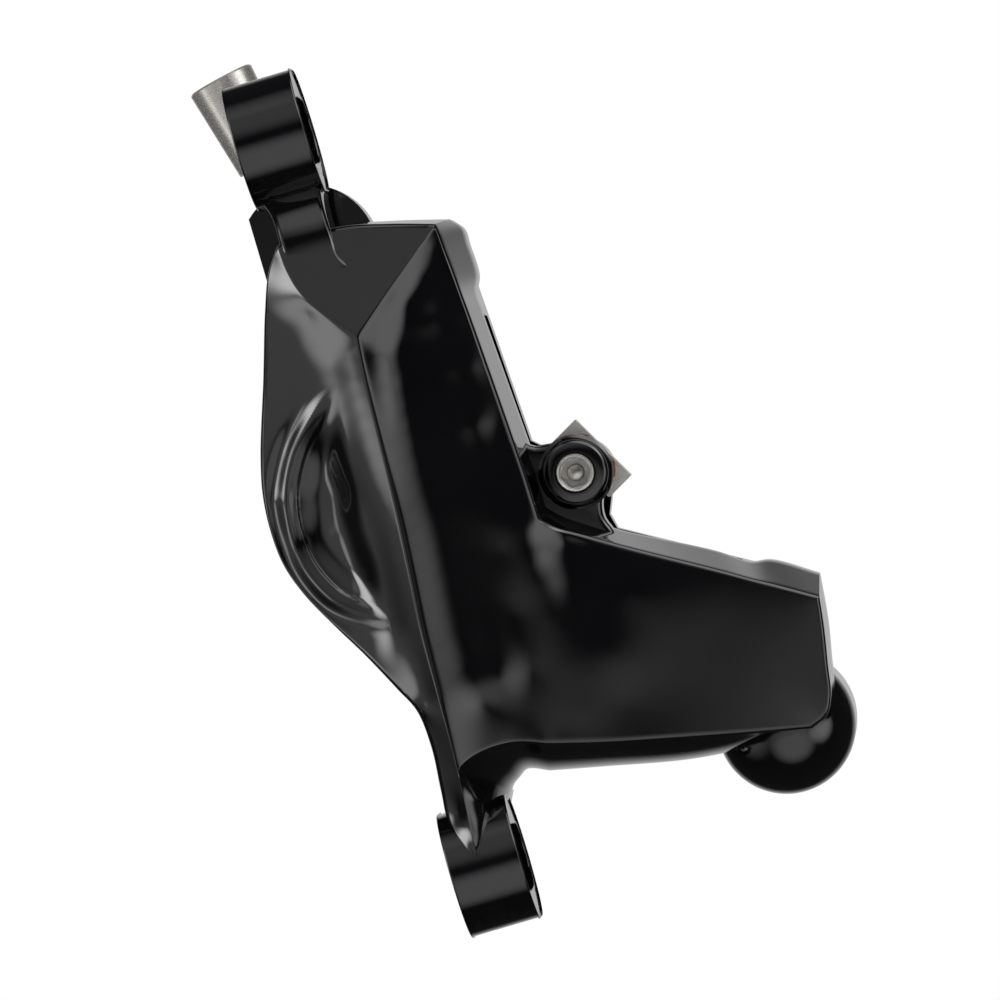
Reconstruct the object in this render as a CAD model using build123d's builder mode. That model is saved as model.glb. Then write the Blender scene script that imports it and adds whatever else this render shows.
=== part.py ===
"""Four-piston hydraulic disc brake caliper on post mounts, in millimetres.

X runs along the mounting bolts, away from the fork posts. Z runs up from the lower post to the upper one.
Y runs inboard along the wheel axle. The origin is the middle of the post mount, on its seating face.
A depth is measured from the rotor's mid-plane: plus is outboard, towards -Y, and minus is inboard.
The pad frame starts on the pad pin: its first axis points away from the wheel's axle and its second axis
runs along the pads, towards the upper limb.
"""

import os
from math import cos, radians, sin

from build123d import *

os.makedirs("parts", exist_ok=True)

# Post mount
mount_spacing = 74.2
slot_r = 3.3
slot_shift = 2.05
ear_r = 6.3
ear_thickness = 7.0
rotor_offset = 13.0

# Rotor and the place of the pads
rotor_r = 90.0
rotor_clearance = 1.2
rim_below_pin = 4.5
rotor_slot_half = 1.6
pin_x = 22.4
pin_z = -2.5
pad_tilt = 28.7

# Brake pads
pad_gap_half = 1.3
friction_thickness = 2.0
plate_thickness = 1.8
plate_half_length = 17.3
plate_top = -5.4
plate_bottom = -21.0
friction_inset = 1.5
dust_slot_width = 1.2
plate_corner = 4.0
plate_shoulder = 2.5
tab_half_width = 2.9
tab_top = 3.3
tab_corner = 1.0
dust_slot_share = 0.6
pad_side_clearance = 0.35
plate_clearance = 0.3
face_gap = 0.05

# Pistons: how far in from the pin, how far along, and the radii in the upper and lower limb
piston_in = 13.0
piston_along = 9.6
upper_piston_r = 7.5
lower_piston_r = 8.0
piston_length = 7.0
piston_wall = 1.8
piston_edge = 0.5
running_clearance = 0.05
fluid_space = 0.85
seal_depth = 1.5
seal_width = 2.0
seal_from_face = 2.8

# Caliper halves
wall_line = 7.0
front_reach = 22.0
outer_wall = 2.2
inboard_block = 11.0
back_chamfer = 1.4
housing_edge = 1.2
section_margin = 4.0
sheet_reach = 60.0
cutter_length = 30.0
web_from = 4.7
web_front = 15.6
web_lap = 2.2
prow_lap = 1.1
prow_start = -26.0
head_clearance = 0.15
boss_wall = 0.8

# Body bolts
bolt_r = 2.5
bolt_head_r = 3.8
bolt_head_height = 5.0
bolt_socket = 4.0
bolt_along = 22.0
bolt_out = 1.2
bolt_depth = 11.0
bolt_head_seat = 6.0
bolt_tip_gap = 0.4
fit_clearance = 0.05

# Pad pin, its eyelet and its clip
pin_r = 1.5
pin_head_r = 1.95
pin_head_height = 2.6
pin_socket_depth = 1.8
pin_neck_r = 1.1
pin_tip_edge = 0.35
pad_pin_clearance = 0.1
pin_socket = 2.7
eyelet_r = 3.3
eyelet_edge = 0.4
eyelet_reach = 11.6
skirt_reach = 9.8
pin_tail = 13.8
clip_thickness = 0.6
clip_r = 2.9
clip_mouth = 1.8

# Pad spring
spring_sheet = 0.4
spring_half_width = 3.9
spring_neck = 3.2
spring_step = 0.3
spring_top = 3.4
spring_reach = 14.6
spring_cheek = 1.9
spring_leg_low = -4.0
spring_leg_high = -2.4

# Hose fitting
port_x = 2.7
port_z = 25.9
port_boss_r = 6.9
port_flat = 4.8
port_seat = 6.0
port_thread_end = 1.0
banjo_lean = 12.1
banjo_eye_r = 5.4
banjo_flat = 4.7
banjo_thickness = 6.0
banjo_edge = 0.6
neck_r = 2.3
collar_r = 2.7
collar_edge = 0.3
stem_r = 2.3
barb_r = 1.4
barb_tip = 2.0
barb_taper = 0.4
barb_end = 17.6
hose_stop = 15.6
washer_thickness = 1.0
banjo_bolt_r = 3.0
banjo_bolt_head_r = 4.8
banjo_bolt_head = 4.0
collar_start = 7.2
neck_start = 8.9
ferrule_start = 10.5
ferrule_end = 20.1
ferrule_small_r = 2.9
ferrule_large_r = 3.45
ferrule_base = 1.0
ferrule_step = 0.5
ferrule_edge = 0.2
hose_r = 2.5
swing_clearance = 0.8

# Bleed port
bleed_x = 35.1
bleed_z = -32.3
bleed_boss_r = 6.9
bleed_dome_top = 10.0
bleed_dome_edge = 5.0
bleed_rim_edge = 1.0
bleed_boss_far = 12.5
bleed_screw_r = 2.5
bleed_head_r = 3.4
bleed_hole_depth = 6.0
bleed_seal_height = 0.9
bleed_head_height = 2.0

# Ring between the halves, placed in the pad frame
crossover_at = (0.9, 29.2)
crossover_r = 1.9
crossover_section = 0.8
crossover_height = 0.75

# Where the prow ends on the lower ear and the web ends inside the upper one
prow_end = prow_lap - mount_spacing / 2
web_top = mount_spacing / 2 - ear_r + web_lap

# Outline of the outboard half, clockwise from the top left: X and Z on the wall line, then X and Z at the front
outline = [
    (0.6, 27.6, 1.0, 27.2),
    (17.6, 25.0, 16.3, 24.7),
    (17.8, 17.9, 16.8, 17.2),
    (18.7, 1.4, 17.7, 1.2),
    (18.9, -4.6, 18.0, -5.9),
    (24.2, -8.7, 25.1, -10.8),
    (42.2, -19.0, 42.2, -21.0),
    (42.4, -21.4, 42.0, -22.4),
    (41.1, -28.1, 40.2, -31.0),
    (38.6, -33.6, 38.0, -33.0),
    (26.9, -33.1, 25.1, -30.3),
    (11.4, -29.9, 13.0, -26.1),
    (8.4, -30.4, 7.1, -25.0),
    (7.7, -31.0, 4.9, -25.6),
    (7.2, -31.6, 3.4, -26.6),
    (7.0, prow_end + 4.0, 3.3, prow_end + 5.0),
    (6.9, prow_end + 3.0, 6.6, prow_end + 3.7),
    (6.0, prow_end + 1.4, 5.9, prow_end + 2.2),
    (4.7, prow_end + 0.4, 4.6, prow_end + 0.8),
    (3.2, prow_end, 3.1, prow_end),
    (2.2, prow_end + 0.4, 2.4, prow_end + 0.6),
    (1.3, prow_end + 4.6, 1.5, prow_end + 4.8),
    (1.3, -24.2, 1.6, -24.2),
    (1.0, -19.2, 1.2, -19.2),
    (-6.6, -6.6, -6.3, -6.4),
    (-8.3, 0.5, -7.9, 0.4),
    (-7.1, 7.6, -6.8, 7.5),
    (-1.2, 24.9, -0.8, 24.6),
]

# Sections across the sculpted front, each a height Z with its X and depth from the left edge over the ridge
# to the right edge
front_sections = [
    (24.0, [(-1.0, 15.0), (-0.6, 15.3), (-0.1, 15.6), (0.3, 15.8), (0.8, 16.1), (6.6, 19.5), (8.6, 18.3),
            (12.1, 16.9), (16.4, 15.2)]),
    (20.0, [(-2.6, 14.5), (-1.4, 15.2), (-0.3, 15.9), (0.9, 16.6), (2.0, 17.3), (6.4, 19.6), (8.4, 18.2),
            (11.9, 16.6), (16.7, 15.4)]),
    (16.2, [(-3.8, 14.1), (-1.8, 15.1), (0.2, 16.0), (2.2, 17.1), (4.1, 18.4), (6.1, 19.6), (8.1, 18.0),
            (11.6, 16.5), (16.9, 15.6)]),
    (12.0, [(-5.3, 13.6), (-3.0, 14.5), (-0.8, 15.5), (1.4, 16.6), (3.6, 18.0), (5.8, 19.7), (7.8, 18.1),
            (11.3, 17.0), (17.2, 15.8)]),
    (7.0, [(-6.9, 13.0), (-2.7, 14.8), (-1.9, 14.5), (-0.6, 14.7), (2.0, 17.0), (5.6, 19.8), (7.6, 18.4),
           (11.1, 17.4), (17.5, 16.0)]),
    (3.6, [(-7.6, 12.7), (-4.5, 14.0), (-3.9, 13.3), (-0.8, 13.9), (2.0, 16.8), (5.4, 19.8), (7.4, 18.7),
           (10.9, 17.6), (17.6, 16.1)]),
    (-0.5, [(-7.8, 12.7), (-5.3, 13.8), (-4.6, 13.1), (-0.9, 13.7), (2.0, 16.9), (5.1, 19.9), (7.1, 19.0),
            (10.6, 18.0), (17.8, 16.2)]),
    (-4.5, [(-7.1, 13.1), (-4.6, 14.2), (-3.9, 13.5), (-0.9, 14.0), (2.0, 17.3), (4.8, 19.9), (6.8, 19.2),
            (10.3, 18.2), (18.0, 16.3)]),
    (-8.0, [(-5.6, 13.8), (-2.3, 15.3), (-1.5, 15.0), (-0.6, 15.3), (2.0, 17.7), (4.5, 20.0), (6.5, 19.3),
            (10.0, 18.4), (18.0, 16.3)]),
    (-10.8, [(-4.0, 14.6), (-2.4, 15.2), (-0.7, 16.2), (1.0, 17.1), (2.6, 18.5), (4.3, 20.1), (6.3, 19.4),
             (9.8, 18.4), (18.0, 16.2)]),
    (-14.0, [(-2.1, 15.5), (-0.9, 16.2), (0.3, 16.9), (1.6, 17.8), (2.8, 18.9), (4.1, 20.1), (6.1, 19.4),
             (9.6, 18.4), (18.0, 16.2)]),
    (-18.0, [(0.0, 17.0), (0.8, 17.6), (1.6, 18.2), (2.4, 18.9), (3.1, 19.5), (3.9, 20.2), (5.9, 19.5),
             (9.4, 18.2), (18.0, 16.2)]),
    (-22.0, [(1.4, 17.9), (1.9, 18.3), (2.3, 18.8), (2.8, 19.3), (3.3, 19.8), (3.8, 20.2), (5.8, 19.4),
             (9.3, 18.2), (18.0, 16.2)]),
    (prow_start, [(1.6, 18.3), (2.0, 18.8), (2.4, 19.2), (2.9, 19.7), (3.3, 20.1), (3.7, 20.3), (5.7, 19.4),
             (9.2, 18.1), (18.0, 16.3)]),
    ((prow_start + prow_end) / 2, [
        (1.6, 18.8), (2.0, 19.2), (2.3, 19.6), (2.6, 20.0), (3.0, 20.4), (3.3, 20.8), (5.3, 19.4),
        (8.8, 18.0), (18.0, 16.3)]),
    (prow_end, [(2.1, 19.6), (2.3, 20.0), (2.5, 20.4), (2.7, 20.7), (2.9, 21.0), (3.1, 21.3), (5.1, 20.4),
                (8.6, 19.0), (18.0, 16.2)]),
]

# Corners of the flat facets as X, Z and depth
ridge_top = (6.15, 16.2, 19.6)
crown_left = (7.4, 27.2, 14.6)
crown_right = (16.3, 24.7, 15.2)
elbow = (18.0, -5.9, 16.3)
lower_limb_end = (42.2, -21.0, 14.5)
lower_limb_heel = (38.0, -33.0, 14.7)

# Web between the upper ear and the body
web_outline = [(1.2, web_top), (6.4, web_top), (6.2, 23.6), (4.2, 22.2), (1.2, 24.2)]

# Skirt of the pad pin's lug, in the pad frame
eyelet_skirt = [
    (1.7, 2.8),
    (-1.1, 4.75),
    (-1.9, 7.0),
    (-9.0, 8.5),
    (-9.0, -8.5),
    (-1.7, -7.2),
    (-1.1, -5.05),
    (2.1, -2.5),
]

# Raised ends where the limbs meet the inboard half
upper_end_block = [(16, 25.1), (17.7, 25.1), (18.4, 23.9), (18.4, 18.7), (17.7, 17.7), (16, 17.7)]
lower_end_block = [(36.6, -16.4), (38.3, -16.2), (42.6, -19.0), (43.0, -20.6), (41, -23), (36, -18)]

# Outline of the inboard half
inboard_outline = [
    (0.8, 27.2),
    (17.2, 24.7),
    (17.6, 17.9),
    (18.4, 1.4),
    (18.6, -4.6),
    (24.2, -9.0),
    (41.8, -19.3),
    (42.0, -21.4),
    (40.7, -28.1),
    (37.0, -33.0),
    (26.9, -32.7),
    (9.0, -29.4),
    (1.6, -21.4),
    (1.4, -19.2),
    (-6.2, -6.6),
    (-7.9, 0.5),
    (-6.7, 7.6),
    (-0.8, 24.9),
]

# Worked-out sizes
plate_back = pad_gap_half + friction_thickness + plate_thickness
cavity_half = plate_back + plate_clearance
piston_back = plate_back + face_gap + piston_length
bore_end = piston_back + fluid_space
cavity_half_length = plate_half_length + pad_side_clearance
hub_in = rim_below_pin + rotor_r
pad_out = (cos(radians(pad_tilt)), 0, sin(radians(pad_tilt)))
piston_spots = {"upper": (piston_along, upper_piston_r), "lower": (-piston_along, lower_piston_r)}
bolt_spots = [(bolt_out, bolt_along), (bolt_out, -bolt_along)]
pin_head_seat = eyelet_reach - pin_head_height


def layer(depth):
    """The plane at a depth, seen from outboard, with X to the right and Z up."""
    return Plane.XZ.offset(depth - rotor_offset)


def pad_layer(depth):
    """The pad frame's plane at a depth, seen from outboard."""
    return Plane(origin=(pin_x, rotor_offset - depth, pin_z), x_dir=pad_out, z_dir=(0, -1, 0))


def spot(corner):
    """A point in space from X, Z and depth."""
    x, z, depth = corner
    return Vector(x, rotor_offset - depth, z)


def facet(first, second, third):
    """The plane through three corners, facing outboard."""
    a, b, c = spot(first), spot(second), spot(third)
    normal = (b - a).cross(c - a)
    if normal.Y > 0:
        normal = -normal
    return Plane(origin=a, x_dir=b - a, z_dir=normal)


def cylinder_cut(plane, at, radius, length):
    """Drill from a plane, against its normal when the length is negative."""
    with BuildSketch(plane) as hole:
        with Locations(at):
            Circle(radius)
    extrude(hole.sketch, amount=length, mode=Mode.SUBTRACT)


def rotor_and_pad_room(side):
    """The slot for the rotor and the open window for the pads, on one side of the rotor's mid-plane."""
    with BuildSketch(pad_layer(0)) as rotor_disc:
        with Locations((-hub_in, 0)):
            Circle(rotor_r + rotor_clearance)
    extrude(rotor_disc.sketch, amount=side * rotor_slot_half, mode=Mode.SUBTRACT)
    with BuildSketch(pad_layer(0)) as window:
        Rectangle(120, 2 * cavity_half_length)
    extrude(window.sketch, amount=side * cavity_half, mode=Mode.SUBTRACT)


def piston_bores(side):
    """A bore with its seal groove for each piston on one side."""
    for along, radius in piston_spots.values():
        start = pad_layer(side * plate_back)
        cylinder_cut(start, (-piston_in, along), radius + running_clearance, side * (bore_end - plate_back))
        groove = pad_layer(side * (cavity_half + seal_from_face))
        cylinder_cut(groove, (-piston_in, along), radius + seal_depth, side * seal_width)


def eyelet(side):
    """The lug that holds the pad pin, and its lower skirt that runs into both limbs."""
    with BuildSketch(pad_layer(side * cavity_half)) as skirt:
        Polygon(*eyelet_skirt, align=None)
    extrude(skirt.sketch, amount=side * (skirt_reach - cavity_half))
    with BuildSketch(pad_layer(side * cavity_half)) as lug:
        Circle(eyelet_r)
    extrude(lug.sketch, amount=side * (eyelet_reach - cavity_half - eyelet_edge))
    with BuildSketch(pad_layer(side * (eyelet_reach - eyelet_edge))) as lug_foot:
        Circle(eyelet_r)
    with BuildSketch(pad_layer(side * eyelet_reach)) as lug_top:
        Circle(eyelet_r - eyelet_edge)
    loft(sections=[lug_foot.sketch, lug_top.sketch])


def depth_on(plane, x, z):
    """The depth of a slanted plane at X and Z."""
    slope = (plane.z_dir.X * (x - plane.origin.X) + plane.z_dir.Z * (z - plane.origin.Z)) / plane.z_dir.Y
    return rotor_offset - plane.origin.Y + slope


def stretched(z, row):
    """A section with one more point past the left edge and one past the lower limb's end, on its flat face."""
    (x, depth), (next_x, next_depth) = row[:2]
    left_depth = depth - section_margin * (next_depth - depth) / (next_x - x)
    lower_face = facet(elbow, lower_limb_end, lower_limb_heel)
    return [(x - section_margin, left_depth), *row, (sheet_reach, depth_on(lower_face, sheet_reach, z))]


def room_above(sections):
    """The solid above a sheet of flat triangles strung over the sections."""
    first, last = sections[0], sections[-1]
    heights = [first[0] + section_margin, *[z for z, _ in sections], last[0] - section_margin]
    rows = [stretched(z, row) for z, row in zip(heights, (first[1], *[row for _, row in sections], last[1]))]
    low = [[spot((x, z, depth)) for x, depth in row] for z, row in zip(heights, rows)]
    high = [[spot((x, z, 2 * front_reach)) for x, _ in row] for z, row in zip(heights, rows)]
    faces = []

    def quad(a, b, c, d):
        faces.append(Face(Wire.make_polygon([a, b, c])))
        faces.append(Face(Wire.make_polygon([a, c, d])))

    columns, count = len(low[0]), len(low)
    for sheet in (low, high):
        for i in range(count - 1):
            for j in range(columns - 1):
                quad(sheet[i][j], sheet[i][j + 1], sheet[i + 1][j + 1], sheet[i + 1][j])
    for i in range(count - 1):
        for j in (0, columns - 1):
            quad(low[i][j], low[i + 1][j], high[i + 1][j], high[i][j])
    for j in range(columns - 1):
        for i in (0, count - 1):
            quad(low[i][j], low[i][j + 1], high[i][j + 1], high[i][j])
    return Solid(Shell(faces))


# Domed end of the bleed boss
with BuildPart() as bleed_dome:
    with BuildSketch(layer(0)):
        with Locations((bleed_x, bleed_z)):
            Circle(bleed_boss_r)
    extrude(amount=bleed_dome_top)
    fillet(bleed_dome.edges().sort_by(Axis.Y)[0], bleed_dome_edge)

# Outboard half: body, ears, web and eyelet in one forging
with BuildPart() as outboard_half:
    with BuildSketch(layer(0)):
        Polygon(*[(x, z) for x, z, _, _ in outline], align=None)
    extrude(amount=wall_line)
    with BuildSketch(layer(wall_line)) as wall_section:
        Polygon(*[(x, z) for x, z, _, _ in outline], align=None)
    with BuildSketch(layer(front_reach)) as front_section:
        Polygon(*[(x, z) for _, _, x, z in outline], align=None)
    loft(sections=[wall_section.sketch, front_section.sketch], ruled=True)
    with BuildSketch(facet(crown_left, crown_right, ridge_top)):
        Rectangle(250, 250)
    extrude(amount=60, mode=Mode.SUBTRACT)
    add(room_above(front_sections), mode=Mode.SUBTRACT)
    with BuildSketch(layer(0)):
        Polygon(*upper_end_block, align=None)
        Polygon(*lower_end_block, align=None)
    extrude(amount=wall_line)
    with BuildSketch(layer(web_from)):
        Polygon(*web_outline, align=None)
    extrude(amount=web_front - web_from)
    add(bleed_dome.part)
    rotor_and_pad_room(1)
    eyelet(1)
    piston_bores(1)
    for ear_z in (mount_spacing / 2, -mount_spacing / 2):
        with BuildSketch(Plane.YZ):
            with Locations((0, ear_z)):
                SlotCenterToCenter(2 * slot_shift, 2 * ear_r)
        extrude(amount=ear_thickness)
    for ear_z in (mount_spacing / 2, -mount_spacing / 2):
        with BuildSketch(Plane.YZ.offset(-1)):
            with Locations((0, ear_z)):
                SlotCenterToCenter(2 * slot_shift, 2 * slot_r)
        extrude(amount=ear_thickness + 4, mode=Mode.SUBTRACT)
    for at in bolt_spots:
        cylinder_cut(pad_layer(0), at, bolt_r + fit_clearance, bolt_depth)
    cylinder_cut(pad_layer(0), (0, 0), pin_r + fit_clearance, eyelet_reach)
    cylinder_cut(pad_layer(pin_head_seat), (0, 0), pin_head_r + fit_clearance, eyelet_reach)
    cylinder_cut(pad_layer(0), crossover_at, crossover_r + fit_clearance, crossover_height)
outboard_half.part.label = "outboard_half"
export_step(outboard_half.part, "parts/outboard_half.step")

# Far end of the bleed boss
with BuildPart() as bleed_rim:
    with BuildSketch(layer(0)):
        with Locations((bleed_x, bleed_z)):
            Circle(bleed_boss_r)
    extrude(amount=-bleed_boss_far)
    chamfer(bleed_rim.edges().sort_by(Axis.Y)[-1], bleed_rim_edge)

# Inboard half, hung on the outboard one by the body bolts
with BuildPart() as inboard_half:
    with BuildSketch(layer(0)):
        Polygon(*inboard_outline, align=None)
    extrude(amount=-inboard_block)
    chamfer(inboard_half.faces().sort_by(Axis.Y)[-1].edges(), back_chamfer)
    for along, radius in piston_spots.values():
        with BuildSketch(pad_layer(-cavity_half)):
            with Locations((-piston_in, along)):
                Circle(radius + outer_wall)
        extrude(amount=cavity_half - bore_end - outer_wall)
    with BuildSketch(pad_layer(-wall_line)):
        with Locations(*bolt_spots):
            Circle(bolt_head_r + boss_wall)
    extrude(amount=wall_line - bolt_head_seat - bolt_head_height)
    fillet(inboard_half.faces().sort_by(Axis.Y)[-2:].edges(), housing_edge)
    add(bleed_rim.part)
    with BuildSketch(layer(0)):
        with Locations((port_x, port_z)):
            Circle(port_boss_r)
            with Locations((port_boss_r - port_flat, 0)):
                Rectangle(2 * port_boss_r, 2 * port_boss_r, mode=Mode.INTERSECT)
    extrude(amount=-port_seat)
    rotor_and_pad_room(-1)
    eyelet(-1)
    piston_bores(-1)
    with BuildSketch(layer(-port_seat)):
        with Locations((port_x, port_z)):
            Circle(banjo_eye_r + swing_clearance)
    extrude(amount=-cutter_length, mode=Mode.SUBTRACT)
    cylinder_cut(layer(-port_seat), (port_x, port_z), banjo_bolt_r + fit_clearance, port_seat - port_thread_end)
    for at in bolt_spots:
        cylinder_cut(pad_layer(0), at, bolt_r + fit_clearance, -bolt_head_seat)
        cylinder_cut(pad_layer(-bolt_head_seat), at, bolt_head_r + head_clearance, -cutter_length)
    cylinder_cut(pad_layer(0), (0, 0), pin_r + fit_clearance, -eyelet_reach)
    cylinder_cut(layer(-bleed_boss_far), (bleed_x, bleed_z), bleed_screw_r + fit_clearance, bleed_hole_depth)
    cylinder_cut(layer(-bleed_boss_far), (bleed_x, bleed_z), bleed_head_r + fit_clearance, bleed_seal_height)
inboard_half.part.label = "inboard_half"
export_step(inboard_half.part, "parts/inboard_half.step")

# Body bolts: socket screws that hold the halves together
with BuildPart() as body_bolts:
    with BuildSketch(pad_layer(bolt_depth - bolt_tip_gap)):
        with Locations(*bolt_spots):
            Circle(bolt_r)
    extrude(amount=bolt_tip_gap - bolt_depth - bolt_head_seat)
    with BuildSketch(pad_layer(-bolt_head_seat)):
        with Locations(*bolt_spots):
            Circle(bolt_head_r)
    extrude(amount=-bolt_head_height)
    with BuildSketch(pad_layer(-bolt_head_seat - bolt_head_height)):
        with Locations(*bolt_spots):
            RegularPolygon(bolt_socket / 2, 6, major_radius=False)
    extrude(amount=bolt_head_height / 2, mode=Mode.SUBTRACT)
body_bolts.part.label = "body_bolts"
export_step(body_bolts.part, "parts/body_bolts.step")

# Ring that seals the fluid passage where the halves meet
with BuildPart() as crossover_seal:
    with BuildSketch(pad_layer(0)):
        with Locations(crossover_at):
            Circle(crossover_r)
            Circle(crossover_r - crossover_section, mode=Mode.SUBTRACT)
    extrude(amount=crossover_height - fit_clearance)
crossover_seal.part.label = "crossover_seal"
export_step(crossover_seal.part, "parts/crossover_seal.step")


def make_piston(side, limb, name):
    """A hollow cup that pushes on the pad plate."""
    along, radius = piston_spots[limb]
    mouth = pad_layer(side * (plate_back + face_gap))
    with BuildPart() as cup:
        with BuildSketch(mouth) as disc:
            with Locations((-piston_in, along)):
                Circle(radius)
        extrude(disc.sketch, amount=side * piston_length)
        chamfer(cup.edges().filter_by(GeomType.CIRCLE).sort_by(Axis.Y)[-1 if side < 0 else 0], piston_edge)
        with BuildSketch(mouth) as hollow:
            with Locations((-piston_in, along)):
                Circle(radius - piston_wall)
        extrude(hollow.sketch, amount=side * (piston_length - piston_wall), mode=Mode.SUBTRACT)
    cup.part.label = name
    export_step(cup.part, "parts/" + name + ".step")


def make_piston_seals(side, name):
    """The square rings that grip the two pistons of one side."""
    with BuildPart() as rings:
        with BuildSketch(pad_layer(side * (cavity_half + seal_from_face + fit_clearance))) as faces:
            for along, radius in piston_spots.values():
                with Locations((-piston_in, along)):
                    Circle(radius + seal_depth - fit_clearance)
                    Circle(radius + running_clearance, mode=Mode.SUBTRACT)
        extrude(faces.sketch, amount=side * (seal_width - 2 * fit_clearance))
    rings.part.label = name
    export_step(rings.part, "parts/" + name + ".step")


def both_ways(points):
    """An outline from its half above the pad's middle line, with the other half mirrored."""
    return points + [(out, -along) for out, along in reversed(points)]


def make_pad(side, name):
    """A steel backing plate with a hole for the pin, and the friction block bonded to it."""
    plate_outline = both_ways([
        (plate_bottom, plate_half_length - plate_corner),
        (plate_bottom + plate_corner, plate_half_length),
        (plate_top - plate_shoulder, plate_half_length),
        (plate_top, plate_half_length - plate_shoulder),
        (plate_top, tab_half_width + 2 * tab_corner),
        (plate_top + 2 * tab_corner, tab_half_width),
        (tab_top - tab_corner, tab_half_width),
        (tab_top, tab_half_width - tab_corner),
    ])
    block_outline = both_ways([
        (plate_bottom + friction_inset, plate_half_length - plate_corner - friction_inset / 2),
        (plate_bottom + plate_corner + friction_inset / 2, plate_half_length - friction_inset),
        (plate_top - plate_shoulder - friction_inset / 2, plate_half_length - friction_inset),
        (plate_top - friction_inset, plate_half_length - plate_shoulder - friction_inset / 2),
    ])
    with BuildPart() as plate:
        with BuildSketch(pad_layer(side * (pad_gap_half + friction_thickness))) as plate_face:
            Polygon(*plate_outline, align=None)
            Circle(pin_r + pad_pin_clearance, mode=Mode.SUBTRACT)
        extrude(plate_face.sketch, amount=side * plate_thickness)
    plate.part.label = name + "_plate"
    export_step(plate.part, "parts/" + name + "_plate.step")
    with BuildPart() as friction:
        with BuildSketch(pad_layer(side * pad_gap_half)) as block_face:
            Polygon(*block_outline, align=None)
        extrude(block_face.sketch, amount=side * friction_thickness)
        with BuildSketch(pad_layer(side * pad_gap_half)) as dust_slot:
            with Locations((-piston_in, 0)):
                Rectangle(2 * (plate_top - plate_bottom), dust_slot_width)
        extrude(dust_slot.sketch, amount=side * friction_thickness * dust_slot_share, mode=Mode.SUBTRACT)
    friction.part.label = name + "_friction"
    export_step(friction.part, "parts/" + name + "_friction.step")


for side, name in ((1, "outboard"), (-1, "inboard")):
    for limb in piston_spots:
        make_piston(side, limb, name + "_" + limb + "_piston")
    make_piston_seals(side, name + "_piston_seals")
    make_pad(side, name + "_pad")

# Spring between the pads: two cheeks hung on the pin, joined over the top, with a leg along each pad
cheek_outline = both_ways([
    (spring_leg_low, spring_reach),
    (spring_leg_high, spring_reach),
    (spring_leg_high, spring_half_width),
    (spring_neck + spring_leg_high - spring_half_width, spring_neck),
    (spring_step, spring_neck),
    (spring_step, spring_half_width),
    (spring_top, spring_half_width),
])
with BuildPart() as pad_spring:
    for side in (1, -1):
        with BuildSketch(pad_layer(side * spring_cheek)):
            Polygon(*cheek_outline, align=None)
            Circle(pin_r + pad_pin_clearance, mode=Mode.SUBTRACT)
        extrude(amount=-side * spring_sheet)
    with BuildSketch(pad_layer(-spring_cheek)):
        with Locations((spring_top - spring_sheet / 2, 0)):
            Rectangle(spring_sheet, 2 * spring_half_width)
    extrude(amount=2 * spring_cheek)
pad_spring.part.label = "pad_spring"
export_step(pad_spring.part, "parts/pad_spring.step")

# Pad pin with a hex socket, and the clip on its tail
with BuildPart() as pad_pin:
    with BuildSketch(pad_layer(pin_head_seat)):
        Circle(pin_r)
    extrude(amount=-pin_head_seat - pin_tail)
    with BuildSketch(pad_layer(pin_head_seat)):
        Circle(pin_head_r)
    extrude(amount=pin_head_height)
    with BuildSketch(pad_layer(pin_head_seat + pin_head_height)):
        RegularPolygon(pin_socket / 2, 6, major_radius=False)
    extrude(amount=-pin_socket_depth, mode=Mode.SUBTRACT)
    chamfer(pad_pin.edges().filter_by(GeomType.CIRCLE).sort_by(Axis.Y)[0], pin_tip_edge)
    with BuildSketch(pad_layer(-eyelet_reach - fit_clearance)):
        Circle(pin_r)
        Circle(pin_neck_r, mode=Mode.SUBTRACT)
    extrude(amount=-clip_thickness - fit_clearance, mode=Mode.SUBTRACT)
pad_pin.part.label = "pad_pin"
export_step(pad_pin.part, "parts/pad_pin.step")

with BuildPart() as pin_clip:
    with BuildSketch(pad_layer(-eyelet_reach - fit_clearance)):
        Circle(clip_r)
        Circle(pin_neck_r + fit_clearance, mode=Mode.SUBTRACT)
        with Locations((-clip_r, 0)):
            Rectangle(2 * clip_r, clip_mouth, mode=Mode.SUBTRACT)
    extrude(amount=-clip_thickness)
pin_clip.part.label = "pin_clip"
export_step(pin_clip.part, "parts/pin_clip.step")

# Hose fitting: eye and neck, stem, and the ferrule that takes the hose
eye_near = -port_seat - washer_thickness - face_gap
eye_far = eye_near - banjo_thickness
lean = radians(banjo_lean)
hose_origin = spot((port_x, port_z, (eye_near + eye_far) / 2))
hose_axis = Axis(hose_origin, (-sin(lean), 0, cos(lean)))
hose_profile = Plane(origin=hose_origin, x_dir=(0, -1, 0), z_dir=(-cos(lean), 0, -sin(lean)))

with BuildPart() as hose_banjo:
    with BuildSketch(layer(eye_near)):
        with Locations((port_x, port_z)):
            Circle(banjo_eye_r)
            Rectangle(2 * banjo_flat, 3 * banjo_eye_r, mode=Mode.INTERSECT)
    extrude(amount=-banjo_thickness)
    chamfer(hose_banjo.faces().sort_by(Axis.Y)[-1].edges(), banjo_edge)
    with BuildSketch(hose_profile):
        neck_foot = banjo_eye_r / 2
        Polygon((0, neck_foot), (neck_r, neck_foot), (neck_r, collar_start), (0, collar_start), align=None)
    revolve(axis=hose_axis)
    cylinder_cut(layer(eye_near), (port_x, port_z), banjo_bolt_r + running_clearance, -banjo_thickness)
hose_banjo.part.label = "hose_banjo"
export_step(hose_banjo.part, "parts/hose_banjo.step")

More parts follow.
